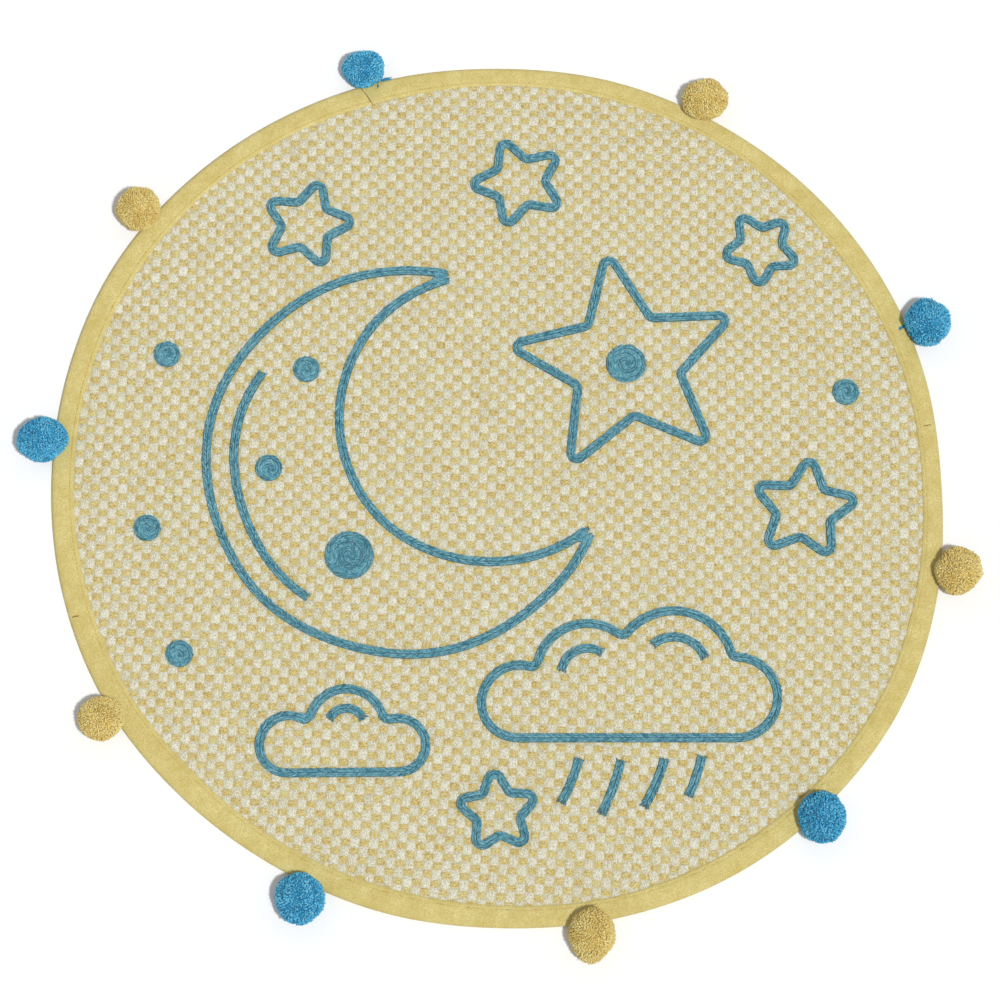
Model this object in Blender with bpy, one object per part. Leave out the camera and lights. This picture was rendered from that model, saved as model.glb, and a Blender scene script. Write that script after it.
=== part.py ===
"""Round rug for a child's room: a thick woven cotton field with a bound edge, a design laid in braid, ten pompoms.

Metres, +Z up. The origin is the middle of the underside, on the floor, and +Y is the top of the design.
The field is a flat panel. The binding is one folded tape that wraps its edge, above and below. The braid lies
on the field, sewn down along its length. Each pompom is a core with clipped locks, sewn to the bound edge.
"""

import math
from collections import namedtuple

import bmesh
import bpy
from mathutils import Euler, Matrix, Vector

MM = 0.001

# Rug
RIM_RADIUS = 450 * MM  # the bound edge on average, so a rug sold as 90 cm
TAPE_WIDTH = 22 * MM  # the binding that shows above, on average
TAPE_WIDTH_BELOW = 18 * MM
TAPE_THICKNESS = 1.1 * MM
FIELD_THICKNESS = 5.0 * MM
FIELD_THICKNESS_BOUND = 4.0 * MM  # pressed together by the tape
FIELD_RAMP = 9 * MM  # the width over which the field's underside rises onto the tape below
SEAM_GAP = 0.35 * MM  # between two pieces that touch
STITCH_FROM_TAPE_EDGE = 2.6 * MM
STITCH_DIP = 0.25 * MM
RIM_SHOULDER = 2.2 * MM  # the width over which the tape turns down
RIM_LIP = 0.45 * MM
ROUND_STEPS = 96
SHARP_DEG = 35
MERGE = 0.01 * MM

# The rim as it lies: its radius and the tape that shows, going round from +X towards +Y
RimStation = namedtuple("RimStation", "bearing_deg radius_mm tape_mm")
RIM_STATIONS = (
    RimStation(0, 443.0, 19.3),
    RimStation(15, 444.9, 20.6),
    RimStation(30, 446.3, 23.5),
    RimStation(45, 446.7, 22.0),
    RimStation(60, 446.8, 19.7),
    RimStation(75, 447.9, 21.0),
    RimStation(90, 446.6, 19.6),
    RimStation(105, 449.6, 23.0),
    RimStation(120, 452.2, 21.9),
    RimStation(135, 454.6, 22.3),
    RimStation(150, 456.4, 24.4),
    RimStation(165, 452.8, 22.3),
    RimStation(180, 449.8, 22.1),
    RimStation(195, 449.4, 23.9),
    RimStation(210, 448.9, 24.8),
    RimStation(225, 445.4, 25.2),
    RimStation(240, 444.2, 23.1),
    RimStation(255, 446.0, 24.0),
    RimStation(270, 446.4, 21.6),
    RimStation(285, 451.4, 20.7),
    RimStation(300, 455.8, 22.3),
    RimStation(315, 456.9, 22.0),
    RimStation(330, 456.4, 22.3),
    RimStation(345, 449.9, 21.3),
)

# Braid
BRAID_WIDTH = 10 * MM
BRAID_HEIGHT = 4.0 * MM
BRAID_SHOULDER = 1.8 * MM  # where its side bends in
BRAID_SHOULDER_SHARE = 0.92  # of its width
BRAID_CROWN_SHARE = 0.5  # of its width, flat on top
BRAID_TURN = 6.2 * MM  # the tightest turn of its middle line
BRAID_SHARP_DEG = 34  # a bend over this is rounded to that turn
BRAID_ARC_DEG = 36  # the bend of one straight piece of a rounded turn
BRAID_SAG = 0.9 * MM  # how far a straight piece may leave the curve it stands for
WANDER = 1.2 * MM  # how far a line laid by hand drifts from its drawing
STROKE_BOW = 0.05  # how far a stroke bows, as a share of half its length
COIL_STEPS = 14
COIL_RIDGE = 0.95  # the height of a coil's turns, as a share of the braid's
COIL_GROOVE = 0.62  # the height between them
COIL_EDGE = 0.40
COIL_RIDGE_FLAT = 0.44  # of a turn's width

# Pompoms
LOCK_ROOT_SHRINK = 0.30  # of the way from a root's corner to its middle
LOCK_TIP_SHRINK = 0.10
CORE_SHARE = 0.50  # of the ball's smallest half width
SETTLE_SHARE = 0.90  # the middle's height, as a share of half the ball's height
BALL_HEIGHT_SHARE = 0.96  # of the mean of its two widths
LOCK_SAMPLES = 4  # along each side of a tip, where it is fitted against the rug's edge
LOCK_ROUNDS = 60

# Colours, as linear RGB, and roughness
WOVEN_ROUGHNESS = 0.85
YARN_ROUGHNESS = 0.95
CREAM_AND_MUSTARD = (0.73, 0.60, 0.28)
TAPE_YELLOW = (0.69, 0.57, 0.19)
BRAID_BLUE = (0.045, 0.24, 0.35)
POMPOM_BLUE = (0.05, 0.27, 0.50)
POMPOM_YELLOW = (0.68, 0.50, 0.14)

# Where the pompoms are sewn, and the width and depth of each seen from above
Pompom = namedtuple("Pompom", "name colour bearing_deg radius_mm width_mm depth_mm turn_deg")
POMPOMS = (
    Pompom("blue_right", POMPOM_BLUE, 20.4, 462.0, 47.0, 49.5, 25),
    Pompom("yellow_top_right", POMPOM_YELLOW, 62.3, 457.4, 49.0, 43.5, 47),
    Pompom("blue_top", POMPOM_BLUE, 107.9, 462.9, 44.5, 38.0, 85),
    Pompom("yellow_left_top", POMPOM_YELLOW, 142.5, 467.7, 45.5, 46.0, 123),
    Pompom("blue_left", POMPOM_BLUE, 175.3, 459.6, 52.0, 45.5, 160),
    Pompom("yellow_left_low", POMPOM_YELLOW, 212.2, 459.0, 45.5, 45.0, 201),
    Pompom("blue_bottom_left", POMPOM_BLUE, 245.5, 461.6, 49.5, 50.0, 222),
    Pompom("yellow_bottom", POMPOM_YELLOW, 280.9, 462.9, 45.5, 53.0, 274),
    Pompom("blue_low_right", POMPOM_BLUE, 312.3, 461.9, 47.0, 52.0, 311),
    Pompom("yellow_right", POMPOM_YELLOW, 347.9, 463.4, 47.0, 48.5, 350),
)

# The design in braid: a moon, stars, clouds with rain, and wound dots. Places are from the rug's middle.
Star = namedtuple("Star", "name x_mm y_mm point_mm valley_mm turn_deg")
STARS = (
    Star("large", 128, 122, 122, 55, 8),
    Star("upper_left", -198, 272, 52, 25, -14),
    Star("top", 20, 318, 54, 26, 20),
    Star("right", 304, -30, 58, 28, -8),
    Star("upper_right", 268, 246, 44, 22, 30),
    Star("bottom", -2, -334, 45, 22, 5),
)
Moon = namedtuple("Moon", "x_mm y_mm outer_mm hollow_x_mm hollow_y_mm hollow_mm")
MOON = Moon(-95, 22, 200, -10, 67, 152)
# A cloud stands on a flat base. Each puff is a circle, from the right end to the left end.
Puff = namedtuple("Puff", "x_mm above_base_mm radius_mm")
Cloud = namedtuple("Cloud", "name base_mm puffs")
CLOUDS = (
    Cloud("large", -262, (Puff(232, 40, 40), Puff(172, 70, 58), Puff(88, 62, 52), Puff(18, 36, 36))),
    Cloud("small", -296, (Puff(-98, 27, 27), Puff(-150, 44, 38), Puff(-208, 28, 28))),
)
Coil = namedtuple("Coil", "name x_mm y_mm radius_mm")
COILS = (
    Coil("moon_low", -150, -78, 25),
    Coil("moon_left", -232, 12, 14),
    Coil("moon_high", -196, 116, 14),
    Coil("left_high", -338, 132, 14),
    Coil("left", -352, -50, 14),
    Coil("left_low", -316, -178, 14),
    Coil("right_high", 350, 92, 14),
    Coil("star", 128, 122, 20),
)
Stroke = namedtuple("Stroke", "name x_mm y_mm length_mm lean_deg")
STROKES = (
    Stroke("rain_1", 68, -304, 44, 68),
    Stroke("rain_2", 108, -311, 54, 71),
    Stroke("rain_3", 150, -307, 50, 67),
    Stroke("rain_4", 190, -300, 40, 70),
)
# A bow is part of a circle, from one bearing to another
Bow = namedtuple("Bow", "name x_mm y_mm radius_mm start_deg end_deg")
BOWS = (
    Bow("moon", -95, 22, 172, 148, 236),
    Bow("cloud_right", 172, -192, 32, 20, 128),
    Bow("cloud_left", 88, -200, 27, 60, 170),
    Bow("cloud_small", -150, -252, 19, 30, 150),
)


def clear_scene():
    """Removes whatever the scene holds."""
    for obj in list(bpy.data.objects):
        bpy.data.objects.remove(obj)


def collection(name):
    """A collection in the scene."""
    made = bpy.data.collections.new(name)
    bpy.context.scene.collection.children.link(made)
    return made


def cloth(name, colour, roughness):
    """A cotton material."""
    made = bpy.data.materials.new(name)
    made.use_nodes = True
    shader = made.node_tree.nodes["Principled BSDF"]
    shader.inputs["Base Color"].default_value = (*colour, 1)
    shader.inputs["Roughness"].default_value = roughness
    shader.inputs["Metallic"].default_value = 0
    made.diffuse_color = (*colour, 1)
    return made


def object_of(bm, name, material, parts):
    """The object of a finished bmesh, in the collection of the parts."""
    mesh = bpy.data.meshes.new(name)
    bm.to_mesh(mesh)
    bm.free()
    mesh.materials.append(material)
    obj = bpy.data.objects.new(name, mesh)
    parts.objects.link(obj)
    return obj


def rim_at(bearing):
    """Rim radius and tape width at a bearing in radians, on a smooth curve through the stations."""
    count = len(RIM_STATIONS)
    place = math.degrees(bearing) % 360 / (360 / count)
    index = int(place)
    t = place - index
    before, start, end, after = (RIM_STATIONS[(index + step) % count] for step in (-1, 0, 1, 2))

    def smooth(column):
        a, b, c, d = (getattr(row, column) * MM for row in (before, start, end, after))
        return b + 0.5 * t * (c - a + t * (2 * a - 5 * b + 4 * c - d + t * (3 * (b - c) + d - a)))

    return smooth("radius_mm"), smooth("tape_mm")


def lay_uneven(point):
    """The place on the rug as it lies of a point on an even round rug."""
    nominal = math.hypot(point.x, point.y)
    if nominal == 0:
        return point.copy()
    radius, tape = rim_at(math.atan2(point.y, point.x))
    inner = RIM_RADIUS - TAPE_WIDTH
    if nominal > inner:
        laid = radius - (RIM_RADIUS - nominal) * tape / TAPE_WIDTH
    else:
        laid = nominal * (radius - tape) / inner
    return Vector((point.x * laid / nominal, point.y * laid / nominal, point.z))


def spun(profile, closed, steps):
    """A profile of (radius, height) pairs turned about +Z, with its faces out."""
    bm = bmesh.new()
    line = [bm.verts.new((radius, 0, height)) for radius, height in profile]
    edges = [bm.edges.new(pair) for pair in zip(line, line[1:])]
    if closed:
        edges.append(bm.edges.new((line[-1], line[0])))
    bmesh.ops.spin(
        bm,
        geom=line + edges,
        cent=(0, 0, 0),
        axis=(0, 0, 1),
        dvec=(0, 0, 0),
        angle=math.tau,
        steps=steps,
        use_merge=True,
    )
    bmesh.ops.remove_doubles(bm, verts=bm.verts[:], dist=MERGE)
    bmesh.ops.recalc_face_normals(bm, faces=bm.faces[:])
    return bm


def turned(name, profile, closed, material, parts):
    """A piece turned about the rug's middle, then laid as uneven as its rim."""
    bm = spun(profile, closed, ROUND_STEPS)
    for vert in bm.verts:
        vert.co = lay_uneven(vert.co)
    obj = object_of(bm, name, material, parts)
    obj.data.shade_smooth()
    obj.data.set_sharp_from_angle(angle=math.radians(SHARP_DEG))
    return obj


def field_heights():
    """Underside and top of the field where the tape holds it."""
    low = TAPE_THICKNESS + SEAM_GAP
    return low, low + FIELD_THICKNESS_BOUND


def rim_height():
    """Height of the bound edge."""
    return field_heights()[1] + SEAM_GAP + TAPE_THICKNESS


def field_panel(material, parts):
    """The woven panel, flat on the floor, with its edge raised onto the tape below."""
    low, high = field_heights()
    edge = RIM_RADIUS - TAPE_THICKNESS - 2 * SEAM_GAP
    bound = RIM_RADIUS - TAPE_WIDTH
    free = bound - FIELD_RAMP
    below = RIM_RADIUS - TAPE_WIDTH_BELOW - 2 * SEAM_GAP
    corner = 1.0 * MM
    profile = (
        (0, FIELD_THICKNESS),
        (free / 2, FIELD_THICKNESS),
        (free, FIELD_THICKNESS),
        (bound, high),
        (edge - corner, high),
        (edge, high - corner),
        (edge, low + corner),
        (edge - corner, low),
        (below, low),
        (below - FIELD_RAMP, 0),
        (below / 2, 0),
        (0, 0),
    )
    return turned("field_panel", profile, False, material, parts)


def edge_binding(material, parts):
    """The tape folded over the field's edge, with the dip of its stitch line above."""
    low, high = field_heights()
    top = rim_height()
    inside_top = top - TAPE_THICKNESS
    above = RIM_RADIUS - TAPE_WIDTH
    below = RIM_RADIUS - TAPE_WIDTH_BELOW
    stitch = above + STITCH_FROM_TAPE_EDGE
    wall = RIM_RADIUS - TAPE_THICKNESS
    bend = RIM_SHOULDER / 2
    profile = (
        (above, inside_top),
        (above + RIM_LIP, top - RIM_LIP / 2),
        (stitch, top - STITCH_DIP),
        (RIM_RADIUS - TAPE_WIDTH / 2, top),
        (RIM_RADIUS - RIM_SHOULDER, top - STITCH_DIP),
        (RIM_RADIUS - RIM_LIP, high - bend),
        (RIM_RADIUS, top / 2),
        (RIM_RADIUS - RIM_LIP, bend),
        (RIM_RADIUS - RIM_SHOULDER, 0),
        (below, 0),
        (below, TAPE_THICKNESS),
        (wall - bend, TAPE_THICKNESS),
        (wall, low + bend),
        (wall, high - bend),
        (wall - bend, inside_top),
    )
    return turned("edge_binding", profile, True, material, parts)


def wander(point):
    """The drift of a line laid by hand, the same for any point near it."""
    x, y = point
    drift_x = WANDER * math.sin(31 * y + 4 * x + 0.7) * math.cos(17 * x + 1.1)
    drift_y = WANDER * math.sin(29 * x - 5 * y + 2.3) * math.cos(19 * y + 0.4)
    return Vector((x + drift_x, y + drift_y))


def arc(centre, radius, start, end):
    """Points on an arc, both ends among them, from one angle to another in radians."""
    reach = 2 * math.acos(1 - BRAID_SAG / radius)
    steps = max(2, math.ceil(abs(end - start) / reach))
    angles = (start + (end - start) * step / steps for step in range(steps + 1))
    return [centre + radius * Vector((math.cos(angle), math.sin(angle))) for angle in angles]


def crossing(centre, radius, other, other_radius, left):
    """The point where two circles cross, to the left or the right of the way from the first to the second."""
    way = other - centre
    along = (radius**2 - other_radius**2 + way.length**2) / (2 * way.length)
    aside = math.sqrt(radius**2 - along**2) * (1 if left else -1)
    way.normalize()
    return centre + along * way + aside * Vector((-way.y, way.x))


def angle_to(centre, point, after=None):
    """The angle from a centre to a point, taken past another angle where one is given."""
    angle = math.atan2(point.y - centre.y, point.x - centre.x)
    if after is not None:
        angle = after + (angle - after) % math.tau
    return angle


def rounded(points):
    """The same closed path with each sharp corner turned on the braid's tightest arc."""
    made = []
    for index, corner in enumerate(points):
        to_before = (points[index - 1] - corner).normalized()
        to_after = (points[(index + 1) % len(points)] - corner).normalized()
        turn = math.pi - to_before.angle(to_after)
        if turn < math.radians(BRAID_SHARP_DEG):
            made.append(corner)
            continue
        middle_way = (to_before + to_after).normalized()
        centre = corner + middle_way * BRAID_TURN / math.cos(turn / 2)
        side = 1 if to_before.x * to_after.y - to_before.y * to_after.x < 0 else -1
        steps = max(2, math.ceil(math.degrees(turn) / BRAID_ARC_DEG))
        for step in range(steps + 1):
            angle = side * (step / steps - 0.5) * turn
            made.append(centre + BRAID_TURN * (Matrix.Rotation(angle, 2) @ -middle_way))
    return made


def star_path(star):
    """Five points and five valleys."""
    centre = Vector((star.x_mm, star.y_mm)) * MM
    path = []
    for index in range(10):
        reach = (star.valley_mm if index % 2 else star.point_mm) * MM
        angle = math.radians(90 + star.turn_deg + 36 * index)
        path.append(centre + reach * Vector((math.cos(angle), math.sin(angle))))
    return rounded(path)


def moon_path(moon):
    """A crescent: the long way round the outer circle, and back inside along the hollow's."""
    outer = Vector((moon.x_mm, moon.y_mm)) * MM
    hollow = Vector((moon.hollow_x_mm, moon.hollow_y_mm)) * MM
    radius = moon.outer_mm * MM
    hollow_radius = moon.hollow_mm * MM
    upper = crossing(outer, radius, hollow, hollow_radius, True)
    lower = crossing(outer, radius, hollow, hollow_radius, False)
    start = angle_to(outer, upper)
    back = arc(outer, radius, start, angle_to(outer, lower, start))
    start = angle_to(hollow, upper)
    front = arc(hollow, hollow_radius, start, angle_to(hollow, lower, start))
    return rounded(back[:-1] + front[:0:-1])


def cloud_path(cloud):
    """A flat base, then the puffs from the right end back to the left."""
    base = cloud.base_mm * MM
    circles = [
        (Vector((puff.x_mm * MM, base + puff.above_base_mm * MM)), puff.radius_mm * MM) for puff in cloud.puffs
    ]
    path = []
    start = -math.pi / 2
    for (centre, radius), (following, following_radius) in zip(circles, circles[1:]):
        meet = crossing(centre, radius, following, following_radius, False)
        path += arc(centre, radius, start, angle_to(centre, meet, start))[:-1]
        start = angle_to(following, meet)
    centre, radius = circles[-1]
    path += arc(centre, radius, start, angle_to(centre, Vector((centre.x, base)), start))
    return rounded(path)


def bow_path(bow):
    """Part of a circle."""
    centre = Vector((bow.x_mm, bow.y_mm)) * MM
    return arc(centre, bow.radius_mm * MM, math.radians(bow.start_deg), math.radians(bow.end_deg))


def stroke_path(stroke):
    """A short line, a little bowed."""
    middle = Vector((stroke.x_mm, stroke.y_mm)) * MM
    lean = math.radians(stroke.lean_deg)
    half = Vector((math.cos(lean), math.sin(lean))) * stroke.length_mm * MM / 2
    bow = Vector((half.y, -half.x)) * STROKE_BOW
    return [middle - half, middle + bow, middle + half]


def braid_section(helpers):
    """The section of the sewn braid: flat below and rounded above."""
    curve = bpy.data.curves.new("braid_section", "CURVE")
    curve.dimensions = "2D"
    half = BRAID_WIDTH / 2
    corners = (
        (-half, 0),
        (-half * BRAID_SHOULDER_SHARE, BRAID_SHOULDER),
        (-half * BRAID_CROWN_SHARE, BRAID_HEIGHT),
        (half * BRAID_CROWN_SHARE, BRAID_HEIGHT),
        (half * BRAID_SHOULDER_SHARE, BRAID_SHOULDER),
        (half, 0),
    )
    spline = curve.splines.new("POLY")
    spline.points.add(len(corners) - 1)
    for point, (x, y) in zip(spline.points, corners):
        point.co = (x, y, 0, 1)
    spline.use_cyclic_u = True
    section = bpy.data.objects.new("braid_section", curve)
    section.hide_render = True
    section.display_type = "WIRE"
    helpers.objects.link(section)
    return section


def braid(name, path, closed, section, material, parts):
    """Braid laid along a path on the field."""
    curve = bpy.data.curves.new(name, "CURVE")
    curve.dimensions = "3D"
    curve.twist_mode = "Z_UP"
    curve.bevel_mode = "OBJECT"
    curve.bevel_object = section
    curve.use_fill_caps = not closed
    spline = curve.splines.new("POLY")
    spline.points.add(len(path) - 1)
    for point, place in zip(spline.points, path):
        laid = wander(place)
        point.co = (laid.x, laid.y, FIELD_THICKNESS + SEAM_GAP, 1)
    spline.use_cyclic_u = closed
    curve.materials.append(material)
    obj = bpy.data.objects.new(name, curve)
    parts.objects.link(obj)
    return obj


def coil(row, material, parts):
    """A dot of braid wound flat: a ridge for each turn, on a flat underside."""
    base = FIELD_THICKNESS + SEAM_GAP
    reach = row.radius_mm * MM
    turns = max(1, round(reach / BRAID_WIDTH))
    ridge = reach / (turns + 0.5)
    slope = ridge * (1 - COIL_RIDGE_FLAT) / 2
    high = base + BRAID_HEIGHT * COIL_RIDGE
    profile = [(0, high)]
    for turn in range(turns):
        groove = ridge * (turn + 0.5)
        profile += [
            (groove, base + BRAID_HEIGHT * COIL_GROOVE),
            (groove + slope, high),
            (groove + ridge - slope, high),
        ]
    profile += [(reach, base + BRAID_HEIGHT * COIL_EDGE), (reach, base), (0, base)]
    bm = spun(profile, False, COIL_STEPS)
    bmesh.ops.translate(bm, verts=bm.verts[:], vec=(row.x_mm * MM, row.y_mm * MM, 0))
    return object_of(bm, f"braid_coil_{row.name}", material, parts)


def reach_to_ball(way, halves):
    """How far the ball's surface is along a way from its middle."""
    return 1 / math.sqrt(sum((part / half) ** 2 for part, half in zip(way, halves)))


def reach_to_floor(way, middle):
    """How far the floor is along a way from the ball's middle."""
    return middle.z / -way.z if way.z < 0 else math.inf


def rim_planes(middle):
    """The bound edge beside a ball as (point, normal) planes, each a seam's gap outside it: wall, shoulder and top."""
    radius = rim_at(math.atan2(middle.y, middle.x))[0]
    outward = Vector((middle.x, middle.y, 0)).normalized()
    up = Vector((0, 0, 1))
    crest = outward * (radius - RIM_SHOULDER) + up * (rim_height() - STITCH_DIP)
    bend = outward * (radius - RIM_LIP) + up * (field_heights()[1] - RIM_SHOULDER / 2)
    fall = crest - bend
    slant = outward * fall.z - up * fall.dot(outward)
    faces = ((outward * radius, outward), (crest, slant.normalized()), (up * rim_height(), up))
    return [(point + normal * SEAM_GAP, normal) for point, normal in faces]


def reach_to_rim(way, middle, planes):
    """How far the rug's bound edge is along a way from the ball's middle, which lies outside it and above."""
    reach = 0
    for point, normal in planes:
        height = (middle - point).dot(normal)
        fall = -way.dot(normal)
        if height > 0 and fall <= 0:
            return math.inf
        if height > 0:
            reach = max(reach, height / fall)
    return reach


def over(distance, way, middle, planes):
    """The share of a distance that stays once it ends at the rug's edge."""
    return min(1, reach_to_rim(way, middle, planes) / distance)


def fitted(tip, middle, planes):
    """A lock's tip, drawn in where it would meet the rug's edge: four corners round a peak, from the ball's middle."""
    grid = [
        (a / LOCK_SAMPLES, b / LOCK_SAMPLES, 1 - (a + b) / LOCK_SAMPLES)
        for a in range(LOCK_SAMPLES + 1)
        for b in range(LOCK_SAMPLES + 1 - a)
    ]
    sides = [(side, (side + 1) % 4, 4) for side in range(4)]

    def worst():
        found = []
        for side in sides:
            for weights in grid:
                place = sum((tip[index] * weight for index, weight in zip(side, weights)), Vector())
                found.append((over(place.length, place.normalized(), middle, planes), side, weights))
        return min(found)

    for _ in range(LOCK_ROUNDS):
        kept, side, weights = worst()
        if kept >= 1:
            return tip
        squares = sum(weight * weight for weight in weights)
        for index, weight in zip(side, weights):
            tip[index] = tip[index] * (1 - (1 - kept) * weight / squares)
    kept = worst()[0]
    return [place * kept for place in tip]


def thirty_sided_cage(turn_deg):
    """A ball of thirty like diamonds about the origin, of radius 1, turned its own way."""
    bm = bmesh.new()
    bmesh.ops.create_icosphere(bm, subdivisions=1, radius=1)
    ridges = bm.edges[:]
    bmesh.ops.poke(bm, faces=bm.faces[:])
    bmesh.ops.dissolve_edges(bm, edges=ridges)
    turn = Euler((math.radians(turn_deg), math.radians(2 * turn_deg), 0)).to_matrix()
    for vert in bm.verts:
        vert.co = turn @ vert.co.normalized()
    return bm


def shrunk(corners, share):
    """A diamond's corners on the ball, drawn some of the way to its middle."""
    centre = sum(corners, Vector()).normalized()
    return [corner.lerp(centre, share).normalized() for corner in corners]


def pompom(row, material, parts):
    """A ball of thirty clipped locks on a core, resting on the floor and against the rug's edge."""
    width, depth = row.width_mm * MM, row.depth_mm * MM
    height = BALL_HEIGHT_SHARE * (width + depth) / 2
    halves = (width / 2, depth / 2, height / 2)
    bearing = math.radians(row.bearing_deg)
    reach = row.radius_mm * MM
    middle = Vector((reach * math.cos(bearing), reach * math.sin(bearing), SETTLE_SHARE * height / 2))
    core = CORE_SHARE * min(halves)
    bm = thirty_sided_cage(row.turn_deg)
    locks = [(face, [vert.co.copy() for vert in face.verts]) for face in bm.faces]
    bmesh.ops.inset_individual(bm, faces=[face for face, _ in locks], thickness=LOCK_ROOT_SHRINK)
    for face, corners in locks:
        for vert, way in zip(face.verts, shrunk(corners, LOCK_ROOT_SHRINK)):
            vert.co = way
    for vert in bm.verts:
        vert.co = middle + core * vert.co
    planes = rim_planes(middle)
    for face, corners in locks:
        end = bmesh.ops.extrude_discrete_faces(bm, faces=[face])["faces"][0]
        verts = list(end.verts)
        verts.append(bmesh.ops.poke(bm, faces=[end])["verts"][0])
        ways = shrunk(corners, LOCK_TIP_SHRINK) + shrunk(corners, 1)[:1]
        tip = [way * min(reach_to_ball(way, halves), reach_to_floor(way, middle)) for way in ways]
        for vert, place in zip(verts, fitted(tip, middle, planes)):
            vert.co = middle + place
    return object_of(bm, f"pompom_{row.name}", material, parts)


def main():
    """Builds the rug."""
    clear_scene()
    parts = collection("round_kids_rug")
    helpers = collection("helpers")
    field_panel(cloth("field_cotton", CREAM_AND_MUSTARD, WOVEN_ROUGHNESS), parts)
    edge_binding(cloth("binding_cotton", TAPE_YELLOW, WOVEN_ROUGHNESS), parts)
    blue = cloth("braid_cotton", BRAID_BLUE, YARN_ROUGHNESS)
    section = braid_section(helpers)
    braid("braid_moon", moon_path(MOON), True, section, blue, parts)
    for star in STARS:
        braid(f"braid_star_{star.name}", star_path(star), True, section, blue, parts)
    for cloud in CLOUDS:
        braid(f"braid_cloud_{cloud.name}", cloud_path(cloud), True, section, blue, parts)
    for stroke in STROKES:
        braid(f"braid_{stroke.name}", stroke_path(stroke), False, section, blue, parts)
    for bow in BOWS:
        braid(f"braid_bow_{bow.name}", bow_path(bow), False, section, blue, parts)
    for row in COILS:
        coil(row, blue, parts)
    yarns = {
        POMPOM_BLUE: cloth("pompom_yarn_blue", POMPOM_BLUE, YARN_ROUGHNESS),
        POMPOM_YELLOW: cloth("pompom_yarn_yellow", POMPOM_YELLOW, YARN_ROUGHNESS),
    }
    for row in POMPOMS:
        pompom(row, yarns[row.colour], parts)


main()
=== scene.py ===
"""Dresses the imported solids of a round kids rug.

The woven field, its bound edge, the sewn braid and the pompoms are modelled here in finer form, each piece
in the place of its own solid. Metres, +Z up, the middle of the underside at the origin, +Y the design's top.
"""

import logging
import math
from dataclasses import dataclass
from enum import Enum
from typing import Callable, Iterable

import bmesh
import bpy
import numpy as np
from mathutils import Euler, Matrix, Vector


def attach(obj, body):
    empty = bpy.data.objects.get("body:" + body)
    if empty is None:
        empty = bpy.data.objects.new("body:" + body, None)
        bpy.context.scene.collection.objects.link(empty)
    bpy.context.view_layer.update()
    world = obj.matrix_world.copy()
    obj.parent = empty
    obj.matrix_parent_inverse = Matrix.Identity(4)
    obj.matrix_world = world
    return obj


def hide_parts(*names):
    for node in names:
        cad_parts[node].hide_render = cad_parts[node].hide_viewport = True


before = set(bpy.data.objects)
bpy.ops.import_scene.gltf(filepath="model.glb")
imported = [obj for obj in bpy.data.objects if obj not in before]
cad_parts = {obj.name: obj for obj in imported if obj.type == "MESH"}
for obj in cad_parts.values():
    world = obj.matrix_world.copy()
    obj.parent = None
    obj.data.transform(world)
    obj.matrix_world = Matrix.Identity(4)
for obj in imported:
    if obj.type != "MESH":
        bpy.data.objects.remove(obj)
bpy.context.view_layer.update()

LOG = logging.getLogger("round_kids_rug")
MM = 0.001
BODY = "root"

# Heights, from the floor up
GROUND_TOP = 4.05 * MM  # the thin ground of the weave, under its floats
BOUND_LOW = 1.45 * MM
BOUND_HIGH = 4.6 * MM
FLOAT_FOOT = 3.9 * MM
BRAID_LOW = 4.85 * MM
CORE_HIGH = 7.3 * MM
TAPE_TOP = 6.9 * MM
TAPE_INSIDE = 5.8 * MM
FLOOR_DROP = 0.15 * MM  # keeps the floor's face apart from the undersides


# The maker's hands


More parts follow.
